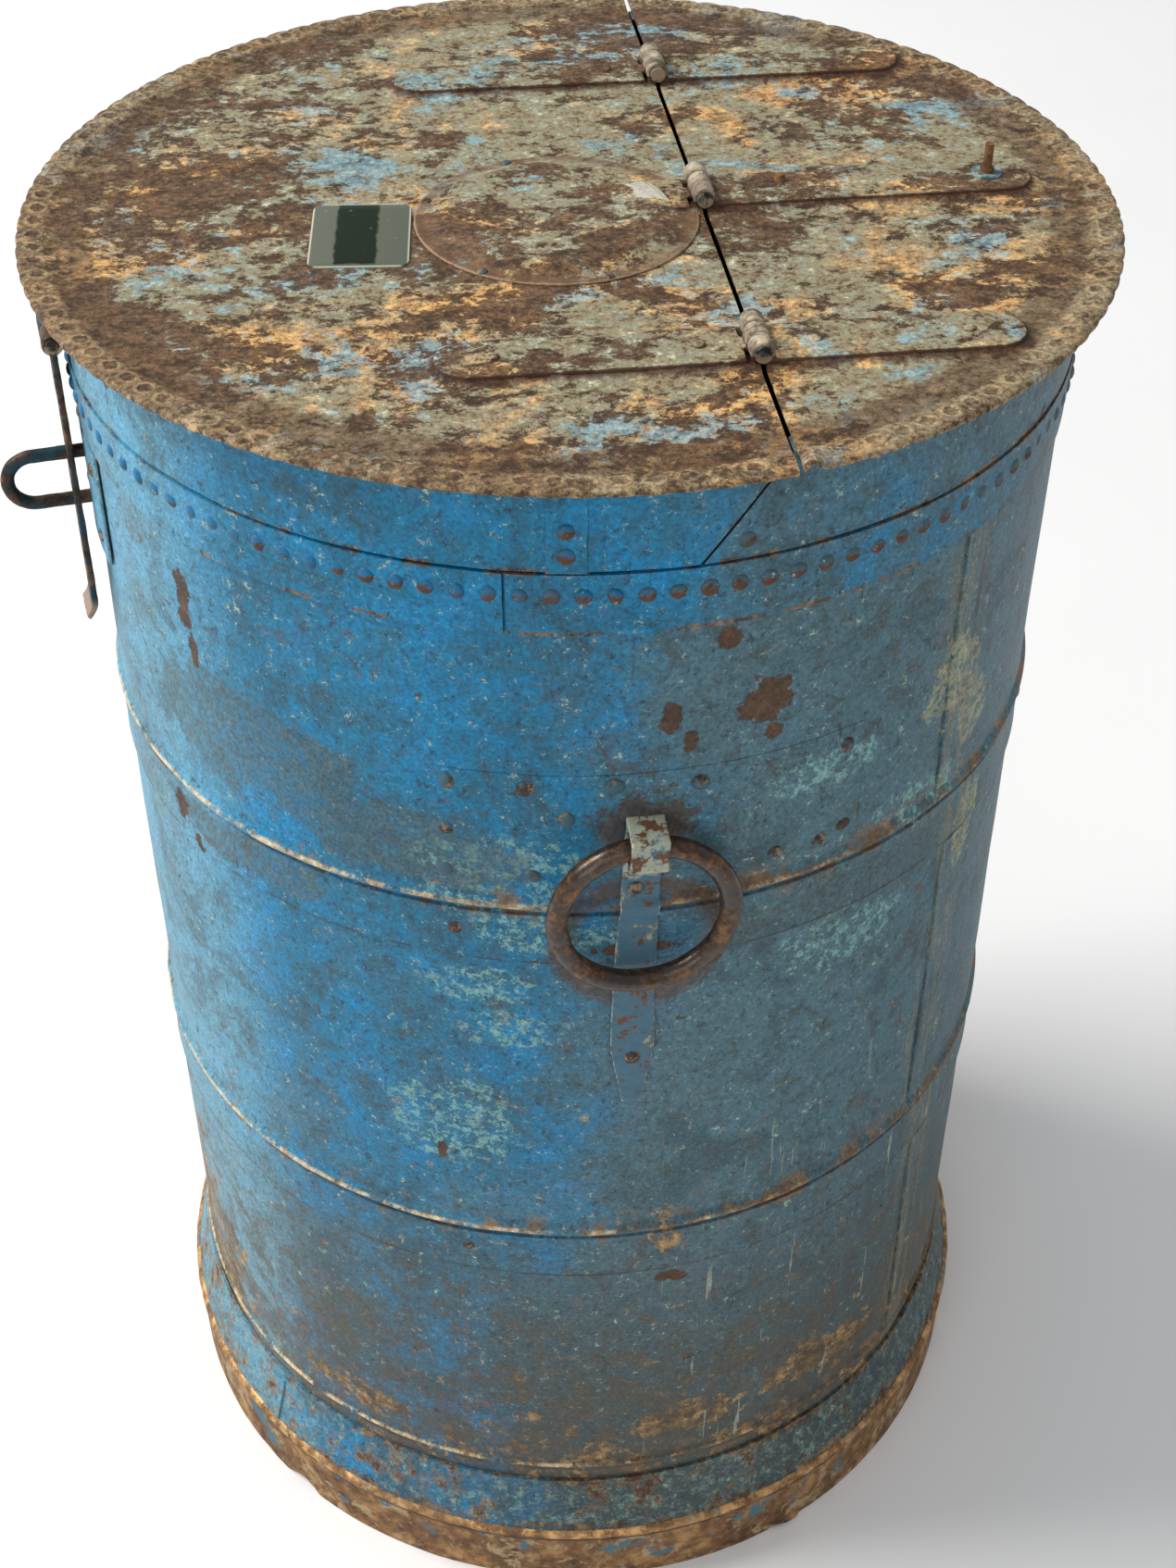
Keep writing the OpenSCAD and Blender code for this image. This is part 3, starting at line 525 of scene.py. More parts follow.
def edge_rust(ground, coat):
    """Flakes and dirt low on the base hoop, and broken lines of rust along the sheets' edges."""
    at, x, z, grit = ground.at, ground.x, ground.z, ground.grit
    broken = at.grain(36, 6, 0.72) + x * 0.24
    line = most((z - height * MM).size().rise(reach * MM, full * MM)
                for height, reach, full in EDGE_RUST)
    low = z.rise(0.12, 0.11)
    coat = (low * at.grain(120, 8, 0.82).rise(0.51, 0.56) * 0.5).paint(coat, tint(108, 132, 122))
    coat = (low * (at.grain(40, 8, 0.8) - x * 0.15).rise(0.52, 0.6) * 0.8).paint(
        coat, grit.paint(tint(74, 56, 40), tint(150, 116, 76)))
    return (line * broken.rise(0.47, 0.56) * 0.9).paint(coat, grit.rise(0.4, 0.6).paint(
        tint(50, 36, 26), tint(124, 96, 64)))


def blue_paint(name, lively_more=0.0, wall=True, wear=0.0):
    """Chalky blue paint over rust, with the wall's own stains, and painted shade, shadows and
    highlights at its beads and rings, where it is for the wall.
    """
    finish, at = start_finish(name)
    ground = paint_ground(at)
    blot, grit, fine = ground.blot, ground.grit, ground.fine
    coat = blue_layers(ground, lively_more)
    rust = at.grain(40, 7, 0.74).rise(0.665 - wear, 0.69 - wear)
    dirt = 0.0
    if wall:
        coat, dirt = wall_patches(ground, coat)
        coat = ring_rubs_and_shadows(ground, seam_streaks(ground, bead_rust_shade_and_highlight(ground, coat)))
        rust = rust.either(stains(ground.flat, ground.ragged, RUST_SPOTS))
    else:
        coat = edge_rust(ground, coat)
    coat = (rust * 0.92).paint(coat, grit.paint(tint(52, 38, 27), tint(104, 74, 50)))
    coat = coat.times(fine * 1.7 + 0.15).times(grit * 1.1 + 0.45)
    inside = at.node(
        "VectorMath", {0: at.facing(), 1: at.stretch(1, 1, 0)}, 1, operation="DOT_PRODUCT")
    coat = inside.rise(0.0, -0.01).paint(coat, blot.paint(tint(92, 62, 42), tint(58, 44, 36)))
    height = blot * 0.35 + grit * 0.4 + fine * 0.2 - rust * 0.5 + dirt * 0.15
    end_finish(at, coat, 0.52 + rust * 0.35 + dirt * 0.25 + (grit - 0.5) * 0.3, height, 0.7)
    return finish


wall_paint = blue_paint("wall_paint")


def bead(z, r, inner=False):
    """The bulge that a bead makes in a wall's section, from its foot up."""
    r0 = WALL_R - (SHEET_T if inner else 0)
    return [(r0 + 0.8 * r * math.cos(i * math.pi / 16) ** 2, z + 1.5 * r * i / 8)
            for i in range(-8, 9)]


def dented(az, r, z):
    """The wall's shallow dents, the same through its thickness, and its uneven beads."""
    r += 0.9 * lumps(az, WALL_R, z, 130) + 0.35 * lumps(az, WALL_R, z, 42, 4)
    for bead_z, bead_r in BEADS:
        if abs(z - bead_z) < bead_r + 1:
            r += 0.35 * lumps(az, WALL_R, 0, 22, 7)
            z += 0.9 * lumps(az, WALL_R, 0, 90, 2)
    for lap in LAPS:
        if abs(z - lap) < 3:
            z += 0.9 * lumps(az, WALL_R, 0, 70, 6)
            r += 0.25 + 0.5 * max(0, lumps(az, WALL_R, 0, 55, 8))
    return az, r, z


for course, (low, high) in enumerate([
        (WALL_FOOT, LAPS[0] + LAP_H - BEAD_R), (LAPS[0], LAPS[1] + LAP_H - BEAD_R),
        (LAPS[1], WALL_TOP)]):
    lapped = course > 0
    bead_z, bead_r = BEADS[course]
    outer = [(WALL_R + (SHEET_T if lapped else 0), low)]
    outer += [(WALL_R + SHEET_T, bead_z - 1.5 * bead_r - 0.8)] if lapped else []
    outer = run(outer + bead(bead_z, bead_r) + [(WALL_R, high)], 7)
    inner_r = WALL_R if lapped else WALL_R - SHEET_T
    inner = [(inner_r, low)] + ([(WALL_R, bead_z - 1.5 * bead_r - 0.4)] if lapped else [])
    inner += bead(bead_z, bead_r, True) + [(WALL_R - SHEET_T, high)]
    node = ["shell_lower", "shell_middle", "shell_upper"][course]
    wall = turned("wall_" + node[6:], outer + run(inner, 30)[::-1], 480)
    hammer(wall, dented)
    finish_piece(wall, "drum", wall_paint, 40,
                 [node])

# The seams up the right side: each course's end is a strip lapped over its start, painted over and
# since rubbed and streaked.
for name, az, low, high in [
        ("seam_lower", SEAM_AZS[0], BEADS[0][0] + 4.4, LAPS[0] - 1),
        ("seam_middle", SEAM_AZS[1], LAPS[0] + LAP_H + 7, LAPS[1] - 1),
        ("seam_upper", SEAM_AZS[2], LAPS[1] + LAP_H + 7, 839)]:
    width = math.degrees(SEAM_W / WALL_R)
    seam = turned(name, run([(WALL_R + SHEET_T, low), (WALL_R + SHEET_T, high)], 7)
                  + run([(WALL_R - 1, high), (WALL_R - 1, low)], 30), 10, az - width / 2, width)
    hammer(seam, lambda az, r, z: (
        az + 0.25 * lumps(0, 0, z, 40), dented(az, r, z)[1] + 0.2 * lumps(az, r, z, 15), z))
    finish_piece(seam, "drum", wall_paint, 40)

# The base hoop. A flared hoop covers the joint between the wall and the foot, lapped at the left.
BASE_HOOP = [(288.0, 102.0), (290.4, 102.0), (291.6, 94.0), (301.8, 57.0), (299.4, 57.0),
             (288.0, 94.0)]
hoop_paint = blue_paint("base_hoop_paint", wall=False, wear=0.07, lively_more=0.15)


def hoop_wave(az, r, z):
    return az, r + 0.5 * lumps(az, 290, z, 50) + 0.3 * lumps(az, 290, z, 13, 3), z + (
        0.8 * lumps(az, 290, 0, 60, 5) if z > 98 else 0)


base_hoop = turned("base_hoop_sheet", run(BASE_HOOP[:4], 5) + BASE_HOOP[4:], 480)
hammer(base_hoop, hoop_wave)
finish_piece(base_hoop, "drum", hoop_paint, 40, ["base_hoop"])
hoop_lap = turned("base_hoop_lap", [(291.2, 94), (293.2, 94), (303, 59), (301, 59)], 6, -146.5, 3)
finish_piece(hoop_lap, "drum", hoop_paint)

# The top hoop, riveted all round below the lid. Its heads are hammered by hand, no two alike.
HOOP_Z, HOOP_STEP, HOOP_TOP = 840.0, 857.0, 877.0
HOOP_GAP_TURN = 0.28
hoop_joint_az = -103.5
bright_paint = blue_paint("hoop_paint", wall=False, lively_more=0.22, wear=0.02)
top_hoop = turned("top_hoop_sheet", run([
    (290.2, HOOP_Z), (290.2, HOOP_STEP), (291, HOOP_STEP + 0.6), (291, HOOP_TOP)], 5)
    + run([(WALL_R - 0.6, HOOP_TOP), (WALL_R - 0.6, HOOP_Z)], 20), 480,
    hoop_joint_az + HOOP_GAP_TURN / 2, 360 - HOOP_GAP_TURN)
hammer(top_hoop, lambda az, r, z: (
    az, r + 0.3 * lumps(az, WALL_R, z, 60) + 0.2 * lumps(az, WALL_R, z, 16, 2),
    z + (0.7 * lumps(az, WALL_R, 0, 55, 4) if z < HOOP_Z + 2 else 0)))
finish_piece(top_hoop, "drum", bright_paint, 40, ["top_hoop"])


def islands(node):
    """The middle of each separate lump of a CAD node."""
    copy = bpy.data.objects.new("lumps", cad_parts[node].data.copy())
    scene.collection.objects.link(copy)
    edit(copy, lambda: bpy.ops.mesh.remove_doubles(threshold=1e-5),
         lambda: bpy.ops.mesh.separate(type="LOOSE"))
    found = []
    for part in list(bpy.context.selected_objects):
        corners = [Vector(c) for c in part.bound_box]
        found.append(sum(corners, Vector()) / 8)
        bpy.data.objects.remove(part)
    return sorted(found, key=lambda p: (round(math.atan2(p.y, p.x), 3), p.z))


def hammered_heads(name, node, body, finish, radius, height, lying=False, sunk=0.6):
    """One rough head copied to every place of a CAD node's rivets, each a little different."""
    middles = islands(node)
    bpy.ops.object.select_all(action="DESELECT")
    bpy.ops.mesh.primitive_uv_sphere_add(segments=12, ring_count=8, radius=MM)
    head = bpy.context.object
    edit(head, lambda: bpy.ops.mesh.bisect(
        plane_co=(0, 0, -0.25 * MM), plane_no=(0, 0, 1), clear_inner=True, use_fill=True))
    copies = []
    for i, middle in enumerate(middles):
        out = Vector((0, 0, 1)) if lying else Vector((middle.x, middle.y, 0)).normalized()
        rest = middle - out * (height * 0.5 * MM)
        copy = bpy.data.objects.new(f"{name}_{i}", head.data.copy())
        scene.collection.objects.link(copy)
        jog = [noise.noise(Vector((i * 0.73 + 0.1, k * 1.9, 0.37))) for k in range(6)]
        for v in copy.data.vertices:
            squareness = 1 + 0.10 * noise.noise(v.co / MM * 0.9 + Vector((i, 0, 0)))
            v.co.x *= radius * (1 + 0.22 * jog[0]) * squareness
            v.co.y *= radius * (1 + 0.22 * jog[1]) * squareness
            v.co.z = v.co.z * height * (1 + 0.35 * jog[2]) if v.co.z > 0 else v.co.z * sunk
        lean = Matrix.Rotation(0.16 * jog[3], 4, "X") @ Matrix.Rotation(0.16 * jog[4], 4, "Y")
        spin = Matrix.Rotation(i * 1.3, 4, "Z")
        copy.data.transform(
            Matrix.Translation(rest) @ out.to_track_quat("Z", "Y").to_matrix().to_4x4()
            @ lean @ spin)
        copies.append(copy)
    bpy.data.objects.remove(head)
    choose(copies[0])
    for copy in copies:
        copy.select_set(True)
    bpy.ops.object.join()
    heads = bpy.context.object
    heads.name = heads.data.name = name
    finish_piece(heads, body, finish, 60, [node])
    return heads


# A rivet's head: blue where the brush reached, and here and there rusty black below.
rivet_paint, at = start_finish("rivet_paint")
x, y, z = at.parts()
up = at.facing().parts()[2]
round_drum = x.math("ARCTAN2", -y).size()
grit = at.grain(140, 5, 0.74)
rusty = (up + (grit - 0.5) * 2.0).rise(0.30, -0.10) * (
    at.grain(24, 3) * 1.3 - round_drum * 0.25).rise(0.48, 0.6)
coat = (x * -3.3 + at.grain(20, 3)).rise(0.45, 0.8).paint(tint(66, 92, 102), tint(20, 100, 144))
# Painted shade: the lower side of each head is darker.
coat = (up.rise(0.25, -0.3) * 0.6).paint(coat, tint(38, 52, 56))
coat = rusty.paint(coat, grit.paint(tint(46, 32, 26), tint(110, 74, 50)))
coat = (at.grain(190, 4, 0.74).rise(0.64, 0.68) * 0.9).paint(coat, tint(170, 186, 184))
end_finish(at, coat, 0.45 + rusty * 0.35, grit, 0.35)
hammered_heads("hoop_rivet_heads", "top_hoop_rivets", "drum", rivet_paint, 4.7, 2.6)

# Rivets with the paint gone: in the backing sheets, the laps, the brackets and the staple plate.
bare_rivet, at = start_finish("bare_rivet")
flake = at.grain(170, 5, 0.7)
coat = flake.rise(0.48, 0.6).paint(tint(58, 42, 34), tint(132, 112, 92))
coat = at.grain(60, 4).rise(0.46, 0.56).paint(coat, tint(58, 88, 100))
end_finish(at, coat, 0.6, flake, 0.6)
for name, node in [
        ("lap_rivet_heads", "lap_rivets"), ("front_backing_heads", "backing_rivets_front"),
        ("back_backing_heads", "backing_rivets_back"),
        ("front_bracket_heads", "bracket_rivets_front"),
        ("back_bracket_heads", "bracket_rivets_back"),
        ("staple_plate_heads", "staple_plate_rivets")]:
    hammered_heads(name, node, "drum", bare_rivet, 5, 2.4)
hammered_heads("fixed_skirt_heads", "fixed_skirt_rivets", "drum", rivet_paint, 5, 2.2)
hammered_heads("flap_skirt_heads", "flap_skirt_rivets", "lid_flap", rivet_paint, 5,
               2.4)
hammered_heads("hasp_bracket_heads", "hasp_bracket_rivets", "lid_flap", bare_rivet,
               4, 2.1)

# The backing sheets that spread the load of the ring handles, one at the front and one behind.
BACKING_Z, BACKING_H, BACKING_HALF = 663.0, 85.0, 123.0
backing_turn = math.degrees(BACKING_HALF / WALL_R)
for name, az in [("front", -88), ("back", 92)]:
    top = BACKING_Z + BACKING_H
    sheet = turned("backing_" + name, run([
        (WALL_R + SHEET_T, BACKING_Z), (WALL_R + SHEET_T, top - 14), (WALL_R + 0.35, top)], 7)
        + run([(WALL_R - 0.8, top), (WALL_R - 0.8, BACKING_Z)], 30),
        96, az - backing_turn, 2 * backing_turn)
    hammer(sheet, lambda az, r, z: (az + 0.12 * lumps(az, 0, z, 20), dented(az, r, z)[1], z
                                    + 0.7 * lumps(az, WALL_R, 0, 30, 3)))
    finish_piece(sheet, "drum", wall_paint, 40, ["backing_sheet_" + name])

# The ring handles: forged rings, hammer-welded at one side, each hung in a strip folded over it
# and riveted down the wall.
RING_PIVOT, RING_R, BAR_R = Vector((0, -302.5, 709)), 48.5, 6.2
LOOP_SHIFT, STRAIGHT_Z, BRACKET_OUT = 4.0, 600.0, 313.1
WELD_TURN, WELD_W = 191, 5.5
ring_yaw, ring_lean = math.radians(3.0), math.radians(-1.1)
ring_iron, at = start_finish("ring_iron")
flake = at.grain(70, 6, 0.68)
fine = at.grain(240, 4, 0.7)
coat = (flake * 0.6 + fine * 0.4).ramp([
    (0.0, tint(20, 14, 10)), (0.42, tint(36, 25, 18)), (0.5, tint(58, 40, 27)),
    (0.6, tint(112, 80, 50)), (1.0, tint(178, 138, 92))])
end_finish(at, coat, 0.30 + (flake - 0.5) * 0.9, fine * 0.5 + flake * 0.5, 0.5,
           flake.rise(0.42, 0.58) * 0.55, 0.6)


def forged(name, node, body, finish, voxel, soften, rough, lump):
    """A forged piece: a copy of its plain solid, remade in small faces, rounded and hammered."""
    piece = bpy.data.objects.new(name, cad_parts[node].data.copy())
    scene.collection.objects.link(piece)
    edit(piece, lambda: bpy.ops.mesh.remove_doubles(threshold=1e-5), outward)
    remade = piece.modifiers.new("Remade", "REMESH")
    remade.mode, remade.voxel_size = "VOXEL", voxel * MM
    rounded = piece.modifiers.new("Rounded", "SMOOTH")
    rounded.factor, rounded.iterations = 0.5, soften
    marks = bpy.data.textures.new(name + "_marks", "CLOUDS")
    marks.noise_scale, marks.noise_depth = lump * MM, 2
    hammered = piece.modifiers.new("Hammered", "DISPLACE")
    hammered.texture, hammered.texture_coords = marks, "LOCAL"
    hammered.strength, hammered.mid_level = rough * MM, 0.5
    for modifier in ["Remade", "Rounded", "Hammered"]:
        bpy.ops.object.modifier_apply(modifier=modifier)
    finish_piece(piece, body, finish, 60, [node])
    return piece


bracket_paint, at = start_finish("bracket_paint")
edge = at.edges()
flake, grit = at.grain(60, 6, 0.74, 0.4), at.grain(190, 5, 0.74)
top = at.parts()[2].rise(0.66, 0.70)
coat = flake.rise(0.56, 0.62).paint(tint(66, 102, 120), tint(92, 86, 72))
coat = (flake + top * 0.20).rise(0.58, 0.66).paint(coat, tint(150, 156, 138))
coat = (at.grain(85, 6, 0.74) + top * 0.05).rise(0.57, 0.61).paint(coat, tint(96, 62, 42))
coat = (edge.rise(0.53, 0.56) * grit.rise(0.42, 0.56)).paint(coat, tint(190, 178, 152))
coat = edge.rise(0.48, 0.45).paint(coat, tint(42, 34, 28))
end_finish(at, coat.times(grit * 0.8 + 0.6), 0.6, flake + grit * 0.5, 0.6)

for name, turn, body in [("front", 0, "front_ring"), ("back", 180, "back_ring")]:
    bpy.ops.object.select_all(action="DESELECT")
    bpy.ops.mesh.primitive_torus_add(
        major_radius=RING_R * MM, minor_radius=BAR_R * MM, major_segments=180, minor_segments=28,
        rotation=(math.radians(90), 0, 0))
    ring = bpy.context.object
    ring.name = ring.data.name = "ring_" + name + "_forged"
    bpy.ops.object.transform_apply()
    for v in ring.data.vertices:
        round_ring = math.atan2(v.co.z, v.co.x)
        middle = Vector((math.cos(round_ring), 0, math.sin(round_ring))) * (RING_R * MM)
        off = v.co - middle
        weld = (math.degrees(round_ring) % 360 - WELD_TURN) / WELD_W
        swell = 1 + 0.16 * math.exp(-weld * weld) - 0.22 * math.exp(-(weld * 4) ** 2)
        swell += 0.05 * noise.noise(v.co / (9 * MM)) + 0.03 * math.sin(3 * round_ring + 1)
        v.co = middle + off * min(swell, 1.08)
    ring.data.transform(
        Matrix.Rotation(math.radians(turn), 4, "Z")
        @ Matrix.Translation((RING_PIVOT + Vector((LOOP_SHIFT - 1, 0, 0))) * MM)
        @ Matrix.Rotation(ring_yaw, 4, "Z") @ Matrix.Rotation(ring_lean, 4, "X")
        @ Matrix.Translation((0, 0, -RING_R * MM)))
    finish_piece(ring, body, ring_iron, 60, ["ring_" + name])
    bracket = forged("bracket_" + name, "ring_bracket_" + name, "drum",
                     bracket_paint, 0.9, 3, 0.7, 9)
    for v in bracket.data.vertices:
        rise = max(0, v.co.z / MM - STRAIGHT_Z) / (RING_PIVOT.z - STRAIGHT_Z)
        v.co.x += LOOP_SHIFT * MM * rise * (1 if turn == 0 else -1)
        v.co.y = max(-BRACKET_OUT * MM, min(v.co.y, BRACKET_OUT * MM))

# The lid's two plates are one disc of sheet, slit beside the hinges. The edge is folded over and
# hammered down in short pads all round. Layers of paint have flaked over brown rust.
LID_R, HEM_W, LID_Z, LID_TOP = 310.0, 19.0, 933.5, 935.0
HINGE_X, SPLIT_GAP = 73.0, 3.0
HINGE_YS = [-182.0, -5.0, 172.0]
LEAF_W = 37.0
FIXED_TIPS = [214.0, 266.0, 229.2]
FLAP_TIPS = [-92.0, HINGE_X - LEAF_W / 2, -92.0]
PADS = 118
PAD_MID_R = 300.3
HEM_CURL, HEM_CURL_W, HEM_CURL_L, HEM_CURL_H = Vector((79, -299)), 4, 10, 4.5
PATCH = Vector((-11.0, -24.0, 0.0))


def hem_wear(at, leaf, fine, tone, coat, height):
    """The dirty band inside the lid's edge, its rim, and the lip and pit of each hammered pad."""
    x, y, z = at.parts()
    far = at.stretch(1, 1, 0).length()
    away = far + (leaf - 0.5) * 0.03
    band = away.rise(0.264, 0.274) * away.rise(0.296, 0.290)
    coat = (band * 0.75).paint(coat, tone.rise(0.4, 0.6).paint(
        tint(62, 44, 28), tint(112, 84, 56)))
    coat = (away.rise(0.290, 0.294) * 0.6).paint(coat, tone.rise(0.4, 0.6).paint(
        tint(76, 56, 40), tint(156, 130, 94)))
    along = (y.math("ARCTAN2", x) * (PADS / math.tau) + at.grain(9, 2) * 1.5).math("FRACT")
    pad = at.across((along - 0.5) * 2.5, (far - PAD_MID_R * MM) * 170).length()
    pad = pad + (fine - 0.5) * 0.8
    lip, pit = pad.rise(0.50, 0.78) * pad.rise(1.15, 0.90), pad.rise(0.66, 0.36)
    kept = at.grain(26, 5, 0.7).rise(0.40, 0.58)
    coat = (lip * kept * 0.4).paint(coat, tint(190, 164, 122))
    coat = (pit * (kept * 0.35 + 0.15)).paint(coat, tint(80, 56, 40))
    return coat, height + lip * 0.35 - pit * 0.5


def painted_strap_shadows(at, crumb, tone, coat):
    """Painted shadow, in dark rust colours, where the sheet meets each strap."""
    x, y, z = at.parts()
    outlines = []
    for hinge_y, tip, foot in zip(HINGE_YS, FIXED_TIPS, FLAP_TIPS):
        half = (tip - foot - LEAF_W) / 2 * MM
        beyond = ((x - (tip + foot) / 2 * MM).size() - half).either(0.0)
        outlines.append(at.across(beyond, y - hinge_y * MM).length() - LEAF_W / 2 * MM)
    # Painted shadow round each strap's outline.
    groove = (reduce(Signal.least, outlines) + (crumb - 0.5) * 0.012).rise(0.007, 0.001)
    return (groove * 0.9).paint(coat, tone.paint(tint(44, 28, 20), tint(88, 56, 38)))


def flaked(at, lid=False, warm=0.0, bare=0.0):
    """The lid's coat: brown iron, then grey-green, ochre and light blue left in flakes."""
    drawn = at.stretch(0.8, 1, 1)
    leaf, crumb = drawn.grain(30, 8, 0.78, 0.4), drawn.grain(90, 7, 0.78, 0.3)
    fine = at.grain(330, 4, 0.74)
    x, y, z = at.parts()
    tone = crumb * 0.6 + fine * 0.4
    coat = tone.ramp([
        (0.0, tint(64, 48, 34)), (0.43, tint(110, 92, 66)), (0.49, tint(148, 134, 104)),
        (0.55, tint(126, 134, 116)), (0.62, tint(184, 174, 144)), (1.0, tint(210, 200, 172))])
    ochre = (drawn.grain(11, 8, 0.72, 0.5) * 0.7 + crumb * 0.3 + warm + y * -0.08).rise(
        0.498, 0.59)
    coat = (ochre * 0.85).paint(coat, tone.rise(0.42, 0.58).paint(
        tint(146, 100, 60), tint(212, 164, 98)))
    blue = (drawn.grain(14, 8, 0.74, 0.4) * 0.7 + crumb * 0.3).rise(0.535, 0.565)
    coat = (blue * 0.8).paint(coat, tone.rise(0.42, 0.58).paint(
        tint(84, 126, 142), tint(132, 160, 164)))
    deep = (drawn.grain(12, 8, 0.76, 0.4) * 0.62 + crumb * 0.30 + leaf * 0.10 + x * 0.07).rise(
        0.508 + bare, 0.490 + bare)
    coat = (deep * 0.94).paint(coat, tone.rise(0.4, 0.62).paint(
        tint(58, 40, 26), tint(118, 86, 56)))
    height = leaf * 0.4 + crumb * 0.5 + fine * 0.2 - deep * 0.25
    if lid:
        coat, height = hem_wear(at, leaf, fine, tone, coat, height)
        coat = painted_strap_shadows(at, crumb, tone, coat)
    coat = coat.times(fine * 1.8 + 0.1).times(crumb * 1.0 + 0.5)
    return coat, height, crumb


lid_finish, at = start_finish("lid_coat")
coat, height, crumb = flaked(at, lid=True)
end_finish(at, coat, 0.66 + (crumb - 0.5) * 0.5, height, 1.5)


def strap_near(x, y):
    """How far a point is from the nearest strap's outline, in millimetres."""
    best = 99.0
    for hinge_y, tip, foot in zip(HINGE_YS, FIXED_TIPS, FLAP_TIPS):
        along = max(foot + LEAF_W / 2 - x, x - (tip - LEAF_W / 2), 0)
        best = min(best, math.hypot(along, y - hinge_y) - LEAF_W / 2)
    return best


def beaten(az, r, z):
    """The lid's waves, the sheet drawn up to the straps, and the pads of its hem."""
    a = math.radians(az)
    phase = math.pi * PADS * a / math.tau + 0.8 * math.sin(5 * a) + 0.5 * math.sin(11 * a + 1)
    groove = (1 - abs(math.sin(phase))) ** 1.6
    if r > LID_R - HEM_W - 2 and z > LID_TOP + 0.05:
        z -= 0.7 * groove * (r > LID_R - 15) + 0.35 * lumps(az, r, 0, 9)
        z = max(z, LID_TOP - 0.2)
        r -= 0.9 * groove * (r > LID_R - 4)
        r += 1.2 * lumps(az, r, 0, 24, 3) * (r < LID_R - 6)
    elif r > LID_R - 3:
        r -= 1.0 * groove + 0.4 * max(0, lumps(az, r, 0, 20, 5))
    elif z > LID_TOP - 0.1:
        wave = 0.45 * lumps(az, r, 0, 90) + 0.28 * lumps(az, r, 0, 26, 4)
        off = strap_near(r * math.cos(a), r * math.sin(a))
        lift = 2.6 * (1 - off / 8) ** 2 if 0 < off < 8 else 2.0 if -4 < off <= 0 else 0
        z += max(wave, -0.7) if lift == 0 else lift
    return az, min(r, LID_R), z


HEM = [(LID_R - HEM_W, LID_TOP), (LID_R - HEM_W + 1.2, LID_TOP + 0.7),
       (LID_R - HEM_W + 3.5, LID_TOP + 1.2), (LID_R - HEM_W + 6, LID_TOP + 1.5),
       (LID_R - HEM_W + 9, LID_TOP + 1.8), (LID_R - 7, LID_TOP + 1.9), (LID_R - 4, LID_TOP + 1.8),
       (LID_R - 1.6, LID_TOP + 1.5), (LID_R - 0.4, LID_TOP + 0.7), (LID_R, LID_TOP - 0.2),
       (LID_R, LID_Z),
       (LID_R - 1, LID_Z - 0.6), (LID_R - 3, LID_Z)]
disc = turned("lid_disc", run([(0, LID_TOP), (LID_R - HEM_W, LID_TOP)], 4) + HEM[1:]
              + [(LID_R - 22, LID_Z), (LID_R - 120, LID_Z), (0, LID_Z)], 720)
hammer(disc, beaten)
for v in disc.data.vertices:
    off = v.co.xy / MM - HEM_CURL
    curl = math.exp(-((off.x / HEM_CURL_W) ** 2 + (off.y / HEM_CURL_L) ** 2))
    v.co.z += HEM_CURL_H * MM * curl * (v.co.x / MM > HINGE_X + SPLIT_GAP / 2)


def cut(piece, name, point, normal):
    """A copy of piece with what lies beyond a plane taken off and the cut closed."""
    kept = bpy.data.objects.new(name, piece.data.copy())
    scene.collection.objects.link(kept)
    edit(kept, lambda: bpy.ops.mesh.bisect(
        plane_co=point, plane_no=normal, clear_outer=True, use_fill=True), outward)
    return kept


flap_plate = cut(disc, "lid_flap_sheet", ((HINGE_X - SPLIT_GAP / 2) * MM, 0, 0), (1, 0, 0))
fixed_plate = cut(disc, "lid_fixed_sheet", ((HINGE_X + SPLIT_GAP / 2) * MM, 0, 0), (-1, 0, 0))
bpy.data.objects.remove(disc)
finish_piece(flap_plate, "lid_flap", lid_finish, 50, ["lid_flap_plate"])
finish_piece(fixed_plate, "drum", lid_finish, 50, ["fixed_lid_plate"])

# The lid's skirt hangs from the plates over the neck. It is slit at a slant below the hinges and
# lapped and riveted at the front.
SKIRT_Z, SKIRT_R, SLIT_RUN, SLIT_W = 878.0, 290.0, 43.0, 1.8
skirt_az = -97.4
skirt_paint = blue_paint("skirt_paint", wall=False, lively_more=0.18, wear=0.01)
band = turned("skirt_band", run([(SKIRT_R, SKIRT_Z), (SKIRT_R, LID_Z)], 5)
              + [(SKIRT_R - 14, LID_Z), (SKIRT_R - 14, LID_Z - SHEET_T),
                 (SKIRT_R - SHEET_T, LID_Z - SHEET_T)]
              + run([(SKIRT_R - SHEET_T, LID_Z - 4), (SKIRT_R - SHEET_T, SKIRT_Z)], 12), 480)
hammer(band, lambda az, r, z: (
    az, r + (0.5 * lumps(az, SKIRT_R, z, 70) + 0.25 * lumps(az, SKIRT_R, z, 20, 3)) * (z < 925),
    z + (0.9 * max(0, lumps(az, SKIRT_R, 0, 40, 6)) if z < SKIRT_Z + 1 else 0)))
slant = Vector((LID_Z - SKIRT_Z, 0, -SLIT_RUN)).normalized()
slit_top = Vector((HINGE_X - SPLIT_GAP / 2, 0, LID_Z)) * MM
flap_skirt = cut(band, "flap_skirt_band", slit_top, slant)
fixed_skirt = cut(band, "fixed_skirt_band", slit_top + Vector((SLIT_W * MM, 0, 0)), -slant)
bpy.data.objects.remove(band)
finish_piece(flap_skirt, "lid_flap", skirt_paint, 40, ["flap_skirt"])
finish_piece(fixed_skirt, "drum", skirt_paint, 40, ["fixed_skirt"])
lap = turned("skirt_lap", run([(SKIRT_R + 1.2, SKIRT_Z), (SKIRT_R + 1.2, LID_Z - 2)], 6)
             + [(SKIRT_R - 0.5, LID_Z - 2), (SKIRT_R - 0.5, SKIRT_Z)], 8, skirt_az - 2, 4)
